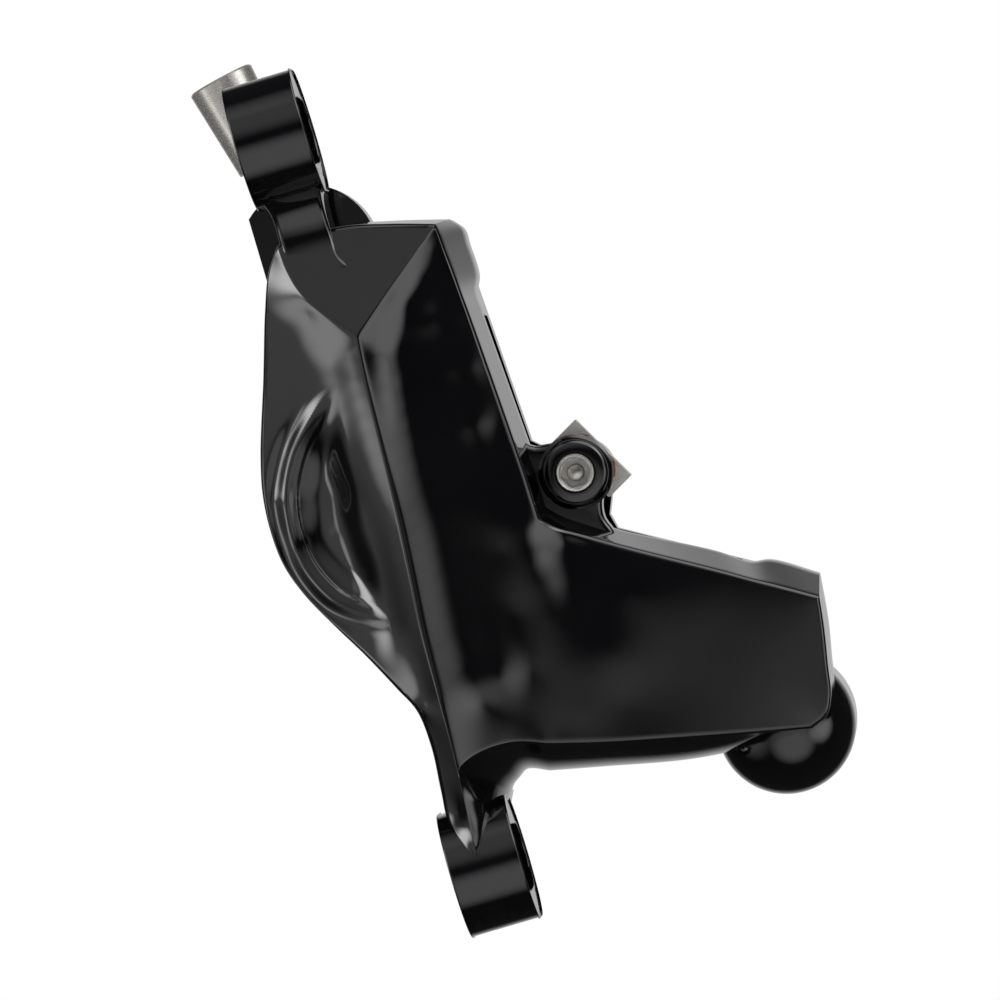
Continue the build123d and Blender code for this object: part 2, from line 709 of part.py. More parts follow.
with BuildPart() as hose_stem:
    with BuildSketch(hose_profile):
        Polygon(
            (0, collar_start),
            (collar_r - collar_edge, collar_start),
            (collar_r, collar_start + collar_edge),
            (collar_r, neck_start),
            (stem_r, neck_start),
            (stem_r, ferrule_start),
            (barb_r, ferrule_start),
            (barb_r, barb_end - barb_tip),
            (barb_r - barb_taper, barb_end),
            (0, barb_end),
            align=None,
        )
    revolve(axis=hose_axis)
hose_stem.part.label = "hose_stem"
export_step(hose_stem.part, "parts/hose_stem.step")

with BuildPart() as crimp_ferrule:
    with BuildSketch(hose_profile):
        Polygon(
            (barb_r + fit_clearance, ferrule_start),
            (ferrule_small_r, ferrule_start),
            (ferrule_large_r, ferrule_end),
            (hose_r + fit_clearance, ferrule_end),
            (hose_r + fit_clearance, hose_stop),
            (barb_r + ferrule_step, hose_stop - ferrule_step),
            (barb_r + ferrule_step, ferrule_start + ferrule_base),
            (barb_r + fit_clearance, ferrule_start + ferrule_base),
            align=None,
        )
    revolve(axis=hose_axis)
    chamfer(crimp_ferrule.edges().filter_by(GeomType.CIRCLE).sort_by(SortBy.RADIUS)[-1], ferrule_edge)
crimp_ferrule.part.label = "crimp_ferrule"
export_step(crimp_ferrule.part, "parts/crimp_ferrule.step")

# Banjo bolt and its two washers
with BuildPart() as banjo_washers:
    for start in (-port_seat, eye_far - face_gap):
        with BuildSketch(layer(start)):
            with Locations((port_x, port_z)):
                Circle(banjo_bolt_head_r)
                Circle(banjo_bolt_r + running_clearance, mode=Mode.SUBTRACT)
        extrude(amount=-washer_thickness)
banjo_washers.part.label = "banjo_washers"
export_step(banjo_washers.part, "parts/banjo_washers.step")

head_seat = eye_far - face_gap - washer_thickness
with BuildPart() as banjo_bolt:
    with BuildSketch(layer(-port_thread_end - bolt_tip_gap)):
        with Locations((port_x, port_z)):
            Circle(banjo_bolt_r)
    extrude(amount=head_seat + port_thread_end + bolt_tip_gap)
    with BuildSketch(layer(head_seat)):
        with Locations((port_x, port_z)):
            RegularPolygon(banjo_bolt_head_r, 6)
    extrude(amount=-banjo_bolt_head)
    with BuildSketch(layer(head_seat - banjo_bolt_head)):
        with Locations((port_x, port_z)):
            RegularPolygon(bolt_socket / 2, 6, major_radius=False)
    extrude(amount=banjo_bolt_head / 2, mode=Mode.SUBTRACT)
banjo_bolt.part.label = "banjo_bolt"
export_step(banjo_bolt.part, "parts/banjo_bolt.step")

# Bleed screw and its ring
with BuildPart() as bleed_screw:
    with BuildSketch(layer(-bleed_boss_far)):
        with Locations((bleed_x, bleed_z)):
            Circle(bleed_screw_r)
    extrude(amount=bleed_hole_depth - bolt_tip_gap)
    with BuildSketch(layer(-bleed_boss_far)):
        with Locations((bleed_x, bleed_z)):
            Circle(bleed_head_r)
    extrude(amount=-bleed_head_height)
    with BuildSketch(layer(-bleed_boss_far - bleed_head_height)):
        with Locations((bleed_x, bleed_z)):
            RegularPolygon(bolt_socket / 2, 6, major_radius=False)
    extrude(amount=bleed_head_height * 0.8, mode=Mode.SUBTRACT)
bleed_screw.part.label = "bleed_screw"
export_step(bleed_screw.part, "parts/bleed_screw.step")

with BuildPart() as bleed_seal:
    with BuildSketch(layer(-bleed_boss_far)):
        with Locations((bleed_x, bleed_z)):
            Circle(bleed_head_r)
            Circle(bleed_screw_r + fit_clearance, mode=Mode.SUBTRACT)
    extrude(amount=bleed_seal_height)
bleed_seal.part.label = "bleed_seal"
export_step(bleed_seal.part, "parts/bleed_seal.step")
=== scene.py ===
import math

import bmesh
import bpy
import numpy as np
from mathutils import Matrix, Vector


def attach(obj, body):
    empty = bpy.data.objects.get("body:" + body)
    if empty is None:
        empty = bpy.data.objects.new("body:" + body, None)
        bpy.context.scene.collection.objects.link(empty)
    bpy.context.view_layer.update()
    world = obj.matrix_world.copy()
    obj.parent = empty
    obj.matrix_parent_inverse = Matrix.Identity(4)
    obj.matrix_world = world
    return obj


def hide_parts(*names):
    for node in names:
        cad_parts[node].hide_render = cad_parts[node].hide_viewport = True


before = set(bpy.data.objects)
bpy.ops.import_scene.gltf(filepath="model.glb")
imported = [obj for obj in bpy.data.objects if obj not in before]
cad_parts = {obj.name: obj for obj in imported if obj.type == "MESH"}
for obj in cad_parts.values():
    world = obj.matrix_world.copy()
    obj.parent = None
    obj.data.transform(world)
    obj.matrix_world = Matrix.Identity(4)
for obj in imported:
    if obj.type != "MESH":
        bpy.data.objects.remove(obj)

MM = 0.001
ROTOR_PLANE = 13.0          # Y of the rotor's mid-plane, mm
PIN = (22.4, -2.5)          # pad pin, X and Z, mm
TILT = math.radians(28.7)   # the pads' outward direction above +X
OUT = (math.cos(TILT), math.sin(TILT))
ALONG = (-math.sin(TILT), math.cos(TILT))

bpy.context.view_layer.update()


# Small tools

def to_world(points):
    """Rows of X, Z and depth in mm to metres in the shared frame."""
    points = np.asarray(points, float)
    return np.stack([points[:, 0], ROTOR_PLANE - points[:, 2], points[:, 1]], axis=1) * MM


def pad_xz(out, along):
    """A place in the pad frame as X and Z in mm."""
    return (PIN[0] + out * OUT[0] + along * ALONG[0], PIN[1] + out * OUT[1] + along * ALONG[1])


def spline(rows, count):
    """A smooth curve through the rows, as `count` rows evenly spaced along it."""
    rows = np.asarray(rows, float)
    if len(rows) == 2:
        return rows[0] + (rows[1] - rows[0]) * np.linspace(0, 1, count)[:, None]
    knots = np.concatenate([[0], np.cumsum(np.linalg.norm(np.diff(rows[:, :2], axis=0), axis=1) ** 0.7)])
    slopes = np.gradient(rows, knots, axis=0)
    dense = []
    for i in range(len(rows) - 1):
        t = np.linspace(0, 1, 30)[:, None]
        span = knots[i + 1] - knots[i]
        dense.append(
            (2 * t**3 - 3 * t**2 + 1) * rows[i] + (t**3 - 2 * t**2 + t) * span * slopes[i]
            + (3 * t**2 - 2 * t**3) * rows[i + 1] + (t**3 - t**2) * span * slopes[i + 1]
        )
    dense = np.concatenate([part[:-1] for part in dense] + [rows[-1:]])
    run = np.concatenate([[0], np.cumsum(np.linalg.norm(np.diff(dense[:, :2], axis=0), axis=1))])
    stops = np.linspace(0, run[-1], count)
    return np.stack([np.interp(stops, run, dense[:, k]) for k in range(rows.shape[1])], axis=1)


class Sheet:
    """A smooth surface of depth over X and Z, bent through the given points like a thin plate."""

    def __init__(self, points):
        points = np.asarray(points, float)
        self.at = points[:, :2]
        n = len(points)
        flat = np.hstack([np.ones((n, 1)), self.at])
        system = np.zeros((n + 3, n + 3))
        system[:n, :n] = self.bend(self.at) + 1e-4 * np.eye(n)
        system[:n, n:] = flat
        system[n:, :n] = flat.T
        self.weights = np.linalg.solve(system, np.concatenate([points[:, 2], np.zeros(3)]))

    def bend(self, places):
        gap = ((places[:, None, :] - self.at[None, :, :]) ** 2).sum(axis=2)
        return gap * np.log(gap + 1e-12) / 2

    def depth(self, places):
        places = np.asarray(places, float)
        return self.bend(places) @ self.weights[:-3] + self.weights[-3] + places @ self.weights[-2:]


def distance(places, line):
    """How far each place is from a drawn line, in X and Z."""
    best = np.full(len(places), 1e9)
    for a, b in zip(line[:-1, :2], line[1:, :2]):
        along = np.clip(((places - a) @ (b - a)) / max((b - a) @ (b - a), 1e-12), 0, 1)
        best = np.minimum(best, np.linalg.norm(places - (a + along[:, None] * (b - a)), axis=1))
    return best


def inside(places, loop):
    """Which places lie inside a closed loop, in X and Z."""
    result = np.zeros(len(places), bool)
    x, z = places[:, 0], places[:, 1]
    for (ax, az), (bx, bz) in zip(loop[:, :2], np.roll(loop[:, :2], -1, axis=0)):
        crosses = (az > z) != (bz > z)
        result ^= crosses & (x < (bx - ax) * (z - az) / (bz - az + 1e-15) + ax)
    return result


def ease(value):
    value = np.clip(value, 0, 1)
    return value * value * (3 - 2 * value)


def coons(bottom, top, left, right):
    """X and Z of a grid spanned between four lines; rows run from bottom to top."""
    u = np.linspace(0, 1, len(bottom))[None, :, None]
    v = np.linspace(0, 1, len(left))[:, None, None]
    b, t, l, r = bottom[None, :, :2], top[None, :, :2], left[:, None, :2], right[:, None, :2]
    low_corners = (1 - u) * (1 - v) * b[:, :1] + u * (1 - v) * b[:, -1:]
    corners = low_corners + (1 - u) * v * t[:, :1] + u * v * t[:, -1:]
    return (1 - v) * b + v * t + (1 - u) * l + u * r - corners


class Builder:
    """Collects grids of points, welds what they share and makes one mesh."""

    def __init__(self):
        self.points = []
        self.faces = []
        self.count = 0

    def grid(self, rows):
        rows = np.asarray(rows, float)
        high, wide = rows.shape[:2]
        self.points.append(rows.reshape(-1, 3))
        for j in range(high - 1):
            for i in range(wide - 1):
                a = self.count + j * wide + i
                self.faces.append((a, a + 1, a + wide + 1, a + wide))
        self.count += high * wide

    def polygon(self, ring):
        self.points.append(np.asarray(ring, float))
        self.faces.append(tuple(range(self.count, self.count + len(ring))))
        self.count += len(ring)

    def mesh(self, name, weld=2e-3):
        mesh = bpy.data.meshes.new(name)
        mesh.from_pydata(np.concatenate(self.points).tolist(), [], self.faces)
        work = bmesh.new()
        work.from_mesh(mesh)
        bmesh.ops.remove_doubles(work, verts=work.verts, dist=weld)
        bmesh.ops.dissolve_degenerate(work, dist=1e-5, edges=work.edges)
        bmesh.ops.recalc_face_normals(work, faces=work.faces)
        work.to_mesh(mesh)
        work.free()
        return mesh


def make_object(name, mesh):
    thing = bpy.data.objects.new(name, mesh)
    bpy.context.scene.collection.objects.link(thing)
    return thing


def finish_mesh(thing, angle=38):
    """Smooth shading, with hard edges only where faces meet sharply."""
    mesh = thing.data
    mesh.polygons.foreach_set("use_smooth", [True] * len(mesh.polygons))
    mesh.set_sharp_from_angle(angle=math.radians(angle))
    mesh.update()


def offset_loop(loop, amount):
    """A closed loop of X and Z moved inwards by an amount, mitred at its corners."""
    loop = np.asarray(loop, float)
    before, after = np.roll(loop, 1, axis=0), np.roll(loop, -1, axis=0)
    area = (loop[:, 0] * after[:, 1] - after[:, 0] * loop[:, 1]).sum()
    turn = 1 if area > 0 else -1

    def normals(step):
        step = step / np.maximum(np.linalg.norm(step, axis=1), 1e-9)[:, None]
        return np.stack([-step[:, 1], step[:, 0]], axis=1) * turn

    n1, n2 = normals(loop - before), normals(after - loop)
    scale = 1 / np.maximum(1 + (n1 * n2).sum(axis=1), 0.35)
    return loop + (n1 + n2) * scale[:, None] * np.asarray(amount, float).reshape(-1, 1)


def rounded_prism(name, loop, near, far, radius, turns=4):
    """A closed slab over a loop of X and Z, from depth `near` to `far`, its far edge rounded."""
    build = Builder()
    sign = 1 if far > near else -1
    rings = [(0, near)]
    rings += [(radius * i, far - sign * radius * (1 - d)) for i, d in
              ((1 - math.cos(a), math.sin(a)) for a in (math.pi / 2 * k / turns for k in range(turns + 1)))]
    rows = []
    for inset, depth in rings:
        ring = offset_loop(loop, inset)
        ring = np.vstack([ring, ring[:1]])
        rows.append(np.column_stack([ring, np.full(len(ring), depth)]))
    build.grid(rows)
    build.polygon(rows[0][:-1])
    build.polygon(rows[-1][:-1])
    return make_object(name, build.mesh(name))


def lathe(name, profile, at, turns=64):
    """A closed solid turned about an axis along the wheel axle; the profile is radius and depth."""
    build = Builder()
    angles = np.linspace(0, 2 * math.pi, turns + 1)
    rows = [
        np.column_stack([at[0] + r * np.cos(angles), at[1] + r * np.sin(angles), np.full(turns + 1, d)])
        for r, d in profile
    ]
    build.grid(rows)
    return make_object(name, build.mesh(name))


def place(thing):
    """Carry a mesh from X, Z and depth in mm into the shared frame."""
    mesh = thing.data
    raw = np.empty(len(mesh.vertices) * 3)
    mesh.vertices.foreach_get("co", raw)
    mesh.vertices.foreach_set("co", to_world(raw.reshape(-1, 3)).ravel())
    mesh.flip_normals()
    mesh.update()
    return thing


def cut(target, cutters):
    """Take solids away from a closed mesh, and drop the cutters."""
    for cutter in cutters:
        step = target.modifiers.new("cut", "BOOLEAN")
        step.operation = "DIFFERENCE"
        step.solver = "MANIFOLD"
        step.object = cutter
    bpy.context.view_layer.update()
    result = bpy.data.meshes.new_from_object(target.evaluated_get(bpy.context.evaluated_depsgraph_get()))
    target.modifiers.clear()
    old = target.data
    target.data = result
    bpy.data.meshes.remove(old)
    for cutter in cutters:
        bpy.data.objects.remove(cutter)


def join(name, things):
    """One object from several."""
    work = bmesh.new()
    for thing in things:
        work.from_mesh(thing.data)
    mesh = bpy.data.meshes.new(name)
    work.to_mesh(mesh)
    work.free()
    for thing in things:
        bpy.data.objects.remove(thing)
    return make_object(name, mesh)


# Outboard half: the sculpted front

# Outer edge, clockwise from the top left.
# Each row is X, Z and depth of the front edge, then X and Z of the wall behind it.
EDGE_TOP = [(0.9, 27.1, 15.0, 0.6, 27.6), (7.4, 27.1, 14.65, 7.4, 27.4), (12.0, 26.0, 14.9, 12.2, 26.4),
            (16.3, 24.7, 15.2, 17.4, 25.0)]
EDGE_RIGHT = [EDGE_TOP[-1], (16.4, 23.6, 15.25, 18.3, 23.9), (16.5, 22.0, 15.3, 18.4, 22.2),
              (16.75, 18.9, 15.45, 18.4, 18.9), (16.85, 17.6, 15.5, 17.85, 17.6),
              (17.0, 15.5, 15.6, 17.9, 15.6), (17.5, 6.6, 16.0, 18.4, 6.7), (17.8, 0.0, 16.2, 18.75, 0.2),
              (18.0, -5.9, 16.3, 18.9, -4.6)]
EDGE_LOW_TOP = [EDGE_RIGHT[-1], (19.2, -7.1, 15.5, 20.2, -5.8), (21.6, -8.6, 15.05, 22.2, -7.3),
                (25.2, -10.8, 15.0, 24.9, -9.2), (33.8, -15.9, 14.8, 33.6, -14.0),
                (36.4, -17.5, 14.7, 36.4, -15.9), (37.9, -18.4, 14.65, 38.1, -16.2),
                (42.0, -20.9, 14.5, 42.5, -18.9)]
EDGE_END = [EDGE_LOW_TOP[-1], (41.6, -23.8, 14.52, 42.0, -23.4), (40.9, -27.6, 14.56, 41.2, -27.6),
            (40.3, -30.6, 14.6, 40.7, -30.6), (39.4, -32.2, 14.65, 39.7, -32.7),
            (37.6, -33.0, 14.7, 38.0, -33.6)]
EDGE_BOTTOM = [EDGE_END[-1], (32.3, -31.9, 15.2, 32.2, -33.4), (25.1, -30.3, 15.8, 25.1, -32.8),
               (17.3, -28.5, 16.5, 16.8, -31.1), (12.6, -27.2, 17.2, 11.6, -30.0)]
EDGE_COVE = [EDGE_BOTTOM[-1], (10.0, -26.2, 17.95, 9.6, -29.2), (7.3, -25.9, 18.9, 8.4, -29.8),
             (5.2, -26.2, 19.7, 7.8, -30.2), (3.6, -26.9, 20.4, 7.5, -30.5)]
EDGE_PROW = [EDGE_COVE[-1], (3.3, -31.0, 20.8, 6.65, -32.1), (3.15, -33.6, 21.05, 5.94, -33.6),
             (3.07, -34.9, 21.15, 4.6, -35.0), (3.0, -35.9, 21.25, 3.27, -35.8)]
EDGE_TOE = [EDGE_PROW[-1], (2.55, -35.2, 21.1, 2.5, -35.5)]
EDGE_LEFT = [EDGE_TOE[-1], (1.63, -33.1, 20.0, 1.45, -33.2), (1.15, -31.8, 18.9, 1.0, -31.9),
             (1.3, -28.6, 18.4, 1.05, -28.6), (1.6, -24.2, 18.2, 1.3, -24.2),
             (1.2, -20.4, 17.7, 0.9, -19.6), (0.0, -18.0, 17.0, -0.5, -17.2),
             (-2.2, -13.9, 15.5, -2.7, -13.2), (-4.4, -10.2, 14.4, -4.9, -9.6),
             (-6.5, -6.3, 13.4, -6.9, -6.0), (-7.6, -3.1, 12.8, -7.95, -3.0),
             (-7.9, 0.4, 12.6, -8.3, 0.5), (-7.6, 4.2, 12.7, -8.0, 4.2), (-6.8, 7.5, 13.1, -7.1, 7.6),
             (-4.2, 15.1, 14.0, -4.5, 15.2), (-2.1, 21.4, 14.7, -2.4, 21.6), (-0.8, 24.6, 15.1, -1.2, 24.9),
             (0.9, 27.1, 15.0, 0.6, 27.6)]

# Creases inside the front
PEAK = (6.15, 16.26, 19.6)
RIDGE_HIGH = [PEAK, (5.8, 11.9, 19.7), (5.5, 6.0, 19.8), (5.05, -1.7, 19.9), (4.5, -8.4, 20.0),
              (4.1, -13.0, 20.1), (3.85, -20.0, 20.2)]
RIDGE_LOW = [RIDGE_HIGH[-1], (3.75, -23.5, 20.3), EDGE_COVE[-1][:3]]
BROW = [PEAK, (3.96, 18.83, 18.5), (1.8, 22.0, 17.1), (1.1, 24.6, 16.0), EDGE_TOP[0][:3]]
CROWN = [PEAK, (10.06, 19.58, 17.9), EDGE_TOP[-1][:3]]
SEAM_KNEE = (12.3, -19.0, 17.0)

# Points along each line of the front, so that lines that meet have equal counts
COLS_LIMB, COLS_FLANK, ROWS_LIMB = 80, 104, 110
ROWS_PROW, ROWS_TOE, COLS_LOW, COLS_COVE = 22, 26, 84, 24
COLS_SEAM = COLS_LIMB - COLS_COVE + 1

sides = {}
for key, rows, count in (
    ("top", EDGE_TOP, COLS_LIMB + COLS_FLANK - 1),
    ("right", EDGE_RIGHT, ROWS_LIMB),
    ("low_top", EDGE_LOW_TOP, COLS_LOW),
    ("end", EDGE_END, ROWS_PROW + COLS_SEAM - 1),
    ("bottom", EDGE_BOTTOM, COLS_LOW),
    ("cove", EDGE_COVE, COLS_COVE),
    ("prow", EDGE_PROW, ROWS_TOE),
    ("toe", EDGE_TOE, COLS_FLANK),
    ("left", EDGE_LEFT, ROWS_LIMB + ROWS_PROW + ROWS_TOE - 2),
):
    sides[key] = spline(rows, count)

order = list(sides)
outer = np.concatenate([sides[key][:-1] for key in order])
starts = dict(zip(order, np.cumsum([0] + [len(sides[key]) - 1 for key in order])))

# How far the rounded edge reaches in: it fades out along the cove and back in after the toe
EDGE_ROUND, EDGE_FADED, FADE_IN = 0.42, 0.02, 12
reach = np.full(len(outer), EDGE_ROUND)
first = starts["cove"]
reach[first:starts["prow"]] = np.linspace(EDGE_ROUND, EDGE_FADED, starts["prow"] - first)
reach[starts["prow"]:starts["left"]] = 0.0
reach[starts["left"]:starts["left"] + FADE_IN] = np.linspace(0, EDGE_ROUND, FADE_IN)
rim = np.column_stack([offset_loop(outer[:, :2], reach), outer[:, 2]])


def rim_side(key):
    """The stretch of the rim that belongs to one side."""
    start, count = starts[key], len(sides[key])
    return np.take(rim, range(start, start + count), axis=0, mode="wrap")


ridge_high = spline(RIDGE_HIGH, ROWS_LIMB)
ridge_low = spline(RIDGE_LOW, ROWS_PROW)
ridge_toe = sides["prow"][:, :3]
brow = spline(BROW, COLS_FLANK)
crown = spline(CROWN, COLS_LIMB)
brow[-1] = rim_side("top")[0]
crown[-1] = rim_side("right")[0]
seam_low = spline([ridge_high[-1], (8.0, -19.9, 18.7), SEAM_KNEE], COLS_COVE)
seam_high = spline([SEAM_KNEE, (15.2, -12.6, 17.0), rim_side("right")[-1]], COLS_SEAM)
seam = np.concatenate([seam_low[:-1], seam_high])
bridge = spline([SEAM_KNEE, (12.4, -23.0, 17.1), rim_side("bottom")[-1]], ROWS_PROW)


def thin(line, step=4):
    """Every fourth point of a line and its last one."""
    return [tuple(row[:3]) for row in line[::step]] + [tuple(line[-1][:3])]


# Runs of points beside the ridge: how far out, and how far below it at its top and at its foot
LIMB_FALL = [(1.2, 1.02, 0.45), (2.8, 2.05, 1.03), (4.5, 2.6, 1.5), (6.3, 2.9, 1.95)]
LIMB_EASED_BY = 0.55        # share of the ridge's length over which the fall eases to its low value
FLANK_FALL_NEAR = [(-1.3, 0.75, 1.3)]
FLANK_FALL_FAR = [(-3.2, 2.1, 3.05)]
CREASE_CLEAR = 8            # points left out where a crease meets the rim


def beside(line, falls, over, step=6):
    """Points beside a crease, below it by a drop that eases to its low value over a share of its length."""
    share = ease(np.linspace(0, 1, len(line)) / over)
    return [(x + out, z, depth - high - (low - high) * part)
            for out, high, low in falls for (x, z, depth), part in zip(line[step::step], share[step::step])]


# Each face is a sheet through its rim, its creases and a few points on it: X, Z and depth
inner_brow, inner_crown = thin(brow[:-CREASE_CLEAR]), thin(crown[:-CREASE_CLEAR])
top_points = [(6.5, 21.0, 17.35), (4.0, 24.0, 16.2), (10.0, 23.5, 16.0)]
top_plane = Sheet(thin(sides["top"]) + inner_brow + inner_crown + top_points)
limb_points = beside(ridge_high, LIMB_FALL, LIMB_EASED_BY) + [
    (11.0, 18.4, 17.0), (13.2, 20.4, 16.35), (15.4, 22.4, 15.6), (13.9, 16.0, 16.55), (15.4, 18.0, 15.9),
    (14.2, 11.0, 16.8), (16.1, 10.5, 16.3), (14.2, 5.0, 17.15), (16.4, 4.0, 16.45), (13.9, -1.0, 17.25),
    (16.0, -1.0, 16.65), (13.6, -8.0, 17.4), (13.2, -14.0, 17.4), (17.2, -9.0, 16.5), (17.2, -12.0, 16.5),
    (19.7, -9.0, 15.3), (20.6, -12.0, 15.4), (16.2, -15.5, 16.7), (20.2, -16.0, 15.75), (7.5, -21.5, 18.7),
    (13.0, -20.0, 17.3), (16.5, -20.5, 16.6), (21.0, -20.5, 16.0), (26.5, -20.5, 15.5), (31.5, -22.0, 15.15),
    (37.0, -24.0, 14.85), (24.0, -15.0, 15.5), (29.0, -18.0, 15.25), (12.0, -24.7, 17.4), (16.5, -25.0, 16.6),
    (21.0, -25.5, 16.0), (26.0, -26.0, 15.6), (32.0, -27.5, 15.2),
]
limb_rim = [point for key in ("right", "low_top", "end", "bottom", "cove") for point in thin(sides[key])]
limb_plane = Sheet(limb_rim + thin(ridge_high) + thin(ridge_low) + inner_crown + limb_points)
wide_part = ridge_high[:4 * ROWS_LIMB // 5]     # the flank is too narrow below it for the far run
flank_points = beside(ridge_high, FLANK_FALL_NEAR, 1.0) + beside(wide_part, FLANK_FALL_FAR, 1.0) + [
    (1.7, 19.5, 16.9), (-0.2, 14.5, 15.85), (-3.5, 11.0, 14.4), (-0.6, 10.0, 15.75), (-4.6, 7.5, 13.8),
    (-2.0, 6.5, 14.5), (-6.4, 3.0, 13.2), (-4.5, 3.0, 13.4), (-2.2, 2.0, 14.4), (0.0, 2.0, 15.4),
    (-5.5, -1.5, 13.0), (-2.0, -2.0, 14.75), (-4.7, -5.0, 13.8), (-1.0, -6.0, 15.4), (2.0, -20.5, 18.6),
    (2.5, -31.0, 19.8),
]
flank_rim = thin(sides["left"]) + thin(ridge_high) + thin(ridge_low) + thin(ridge_toe)
flank_plane = Sheet(flank_rim + inner_brow + flank_points)

# The pocket in the flank: a curved step on its left and a long soft roll on its right, as X and Z
POCKET_STEP = spline([(2.63, 11.75), (0.1, 9.4), (-2.3, 6.9), (-4.2, 3.6), (-4.95, 0.0), (-4.65, -3.6),
                      (-3.1, -6.9), (-1.4, -8.7), (0.93, -10.5)], 60)
POCKET_ROLL = spline([(0.93, -10.5), (1.7, -6.2), (1.6, -1.3), (1.9, 3.3), (2.3, 8.0), (2.63, 11.75)], 40)
POCKET = np.vstack([POCKET_STEP[:-1], POCKET_ROLL[:-1]])
POCKET_DEPTH, STEP_WIDTH, FLOOR_WIDTH, ROLL_WIDTH = 1.15, 0.26, 2.6, 3.2
STEP_SHARE = 0.25                   # share of the pocket's depth that the step takes at once
LIP_RISE, LIP_AT, LIP_WIDTH = 0.42, 0.95, 0.62
GROOVE_DROP, GROOVE_AT, GROOVE_WIDTH = 0.30, 2.35, 0.6
LIP_TOP, LIP_TOP_FADE, LIP_FOOT, LIP_FOOT_FADE = 12.6, 4.5, -12.5, 5.0
NEAR_RIGHT, NEAR_MIDDLE, NEAR_HALF = 4.2, 1.5, 17


def bell(gap, at, width):
    """A smooth hump round one distance."""
    return np.exp(-(((gap - at) / width) ** 2))


def flank_depth(places):
    """Depth of the flank: its sheet, less the pocket, with a lip and a groove left of the pocket's step."""
    depth = flank_plane.depth(places)
    near = (places[:, 0] < NEAR_RIGHT) & (np.abs(places[:, 1] - NEAR_MIDDLE) < NEAR_HALF)
    some = places[near]
    step, roll = distance(some, POCKET_STEP), distance(some, POCKET_ROLL)
    within = inside(some, POCKET)
    sunk = STEP_SHARE + (1 - STEP_SHARE) * ease(step / FLOOR_WIDTH)
    floor = POCKET_DEPTH * ease(step / STEP_WIDTH) * sunk * ease(roll / ROLL_WIDTH)
    ends = ease((LIP_TOP - some[:, 1]) / LIP_TOP_FADE) * ease((some[:, 1] - LIP_FOOT) / LIP_FOOT_FADE)
    lip = LIP_RISE * bell(step, LIP_AT, LIP_WIDTH) - GROOVE_DROP * bell(step, GROOVE_AT, GROOVE_WIDTH)
    left_of = some[:, 0] < np.interp(some[:, 1], POCKET_STEP[::-1, 1], POCKET_STEP[::-1, 0])
    depth[near] += np.where(within, -floor, np.where(left_of, lip * ends, 0))
    return depth


def filled(xz, depth_of, edges):
    """Depth over a grid: the sheet inside, the shared lines on the rim."""
    high, wide = xz.shape[:2]
    grid = np.dstack([xz, depth_of(xz.reshape(-1, 2)).reshape(high, wide)])
    bottom, top, left, right = edges
    grid[0] = bottom
    grid[-1] = top
    grid[:, 0] = left
    grid[:, -1] = right
    return grid


def settle(key, sheet):
    """Give the rim its depth from the sheet it belongs to."""
    start, count = starts[key], len(sides[key])
    index = [k % len(rim) for k in range(start, start + count)]
    rim[index, 2] = sheet(rim[index, :2])


settle("left", flank_depth)
settle("top", top_plane.depth)
for key in ("right", "low_top", "end", "bottom", "cove"):
    settle(key, limb_plane.depth)
rim[starts["prow"]:starts["left"] + 1, 2] = outer[starts["prow"]:starts["left"] + 1, 2]
for line, key, end in ((brow, "top", 0), (crown, "right", 0), (seam, "right", -1), (bridge, "bottom", -1)):
    line[-1] = rim_side(key)[end]
ridge_low[-1] = rim_side("prow")[0]
seam[1:-1, 2] = limb_plane.depth(seam[1:-1, :2])
bridge[:-1, 2] = limb_plane.depth(bridge[:-1, :2])
bridge[0] = seam[COLS_COVE - 1]

front = Builder()
top_rim = rim_side("top")
ridge_all = np.concatenate([ridge_high, ridge_low[1:], rim_side("prow")[1:]])


def add_patch(bottom, top, left, right, depth_of):
    """Add one face of the front, spanned between four lines."""
    front.grid(filled(coons(bottom, top, left, right), depth_of, (bottom, top, left, right)))


# Top facet: from the peak along both creases to the top edge
add_patch(crown, top_rim[:COLS_LIMB], brow, top_rim[COLS_LIMB - 1:][::-1], top_plane.depth)
# Upper limb: rows run down from the crown to the seam
add_patch(crown, seam, ridge_high, rim_side("right"), limb_plane.depth)
# Between the seam, the ridge and the cove
add_patch(seam[:COLS_COVE], rim_side("cove")[::-1], ridge_low, bridge, limb_plane.depth)
# Lower limb: rows run from the seam side to the end
left_side = np.concatenate([seam[COLS_COVE - 1:][::-1], bridge[1:]])
add_patch(left_side, rim_side("end"), rim_side("low_top"), rim_side("bottom")[::-1], limb_plane.depth)
# Flank: rows run down the ridge
add_patch(brow[::-1], rim_side("toe")[::-1], rim_side("left")[::-1], ridge_all, flank_depth)

# Rounded edge, wall and rear face
WALL_FOOT = 7.0             # depth at which the wall is straight
LEAST_REACH = 0.05
SWELL_RUN = 30              # points over which the swelling of the wall grows


def bend_between(first, middle, last, steps):
    """Rows of a curve from one row to another, drawn towards a middle row."""
    shares = np.linspace(0, 1, steps)[1:]
    return [(1 - t) ** 2 * first + 2 * t * (1 - t) * middle + t * t * last for t in shares]


wall = np.column_stack([outer[:, 3:5], np.full(len(outer), WALL_FOOT)])
tangent = wall - outer[:, :3]
length = np.linalg.norm(tangent, axis=1)
fall = outer[:, :3] + tangent / length[:, None] * np.maximum(reach, LEAST_REACH)[:, None]
middle = (fall + wall) / 2
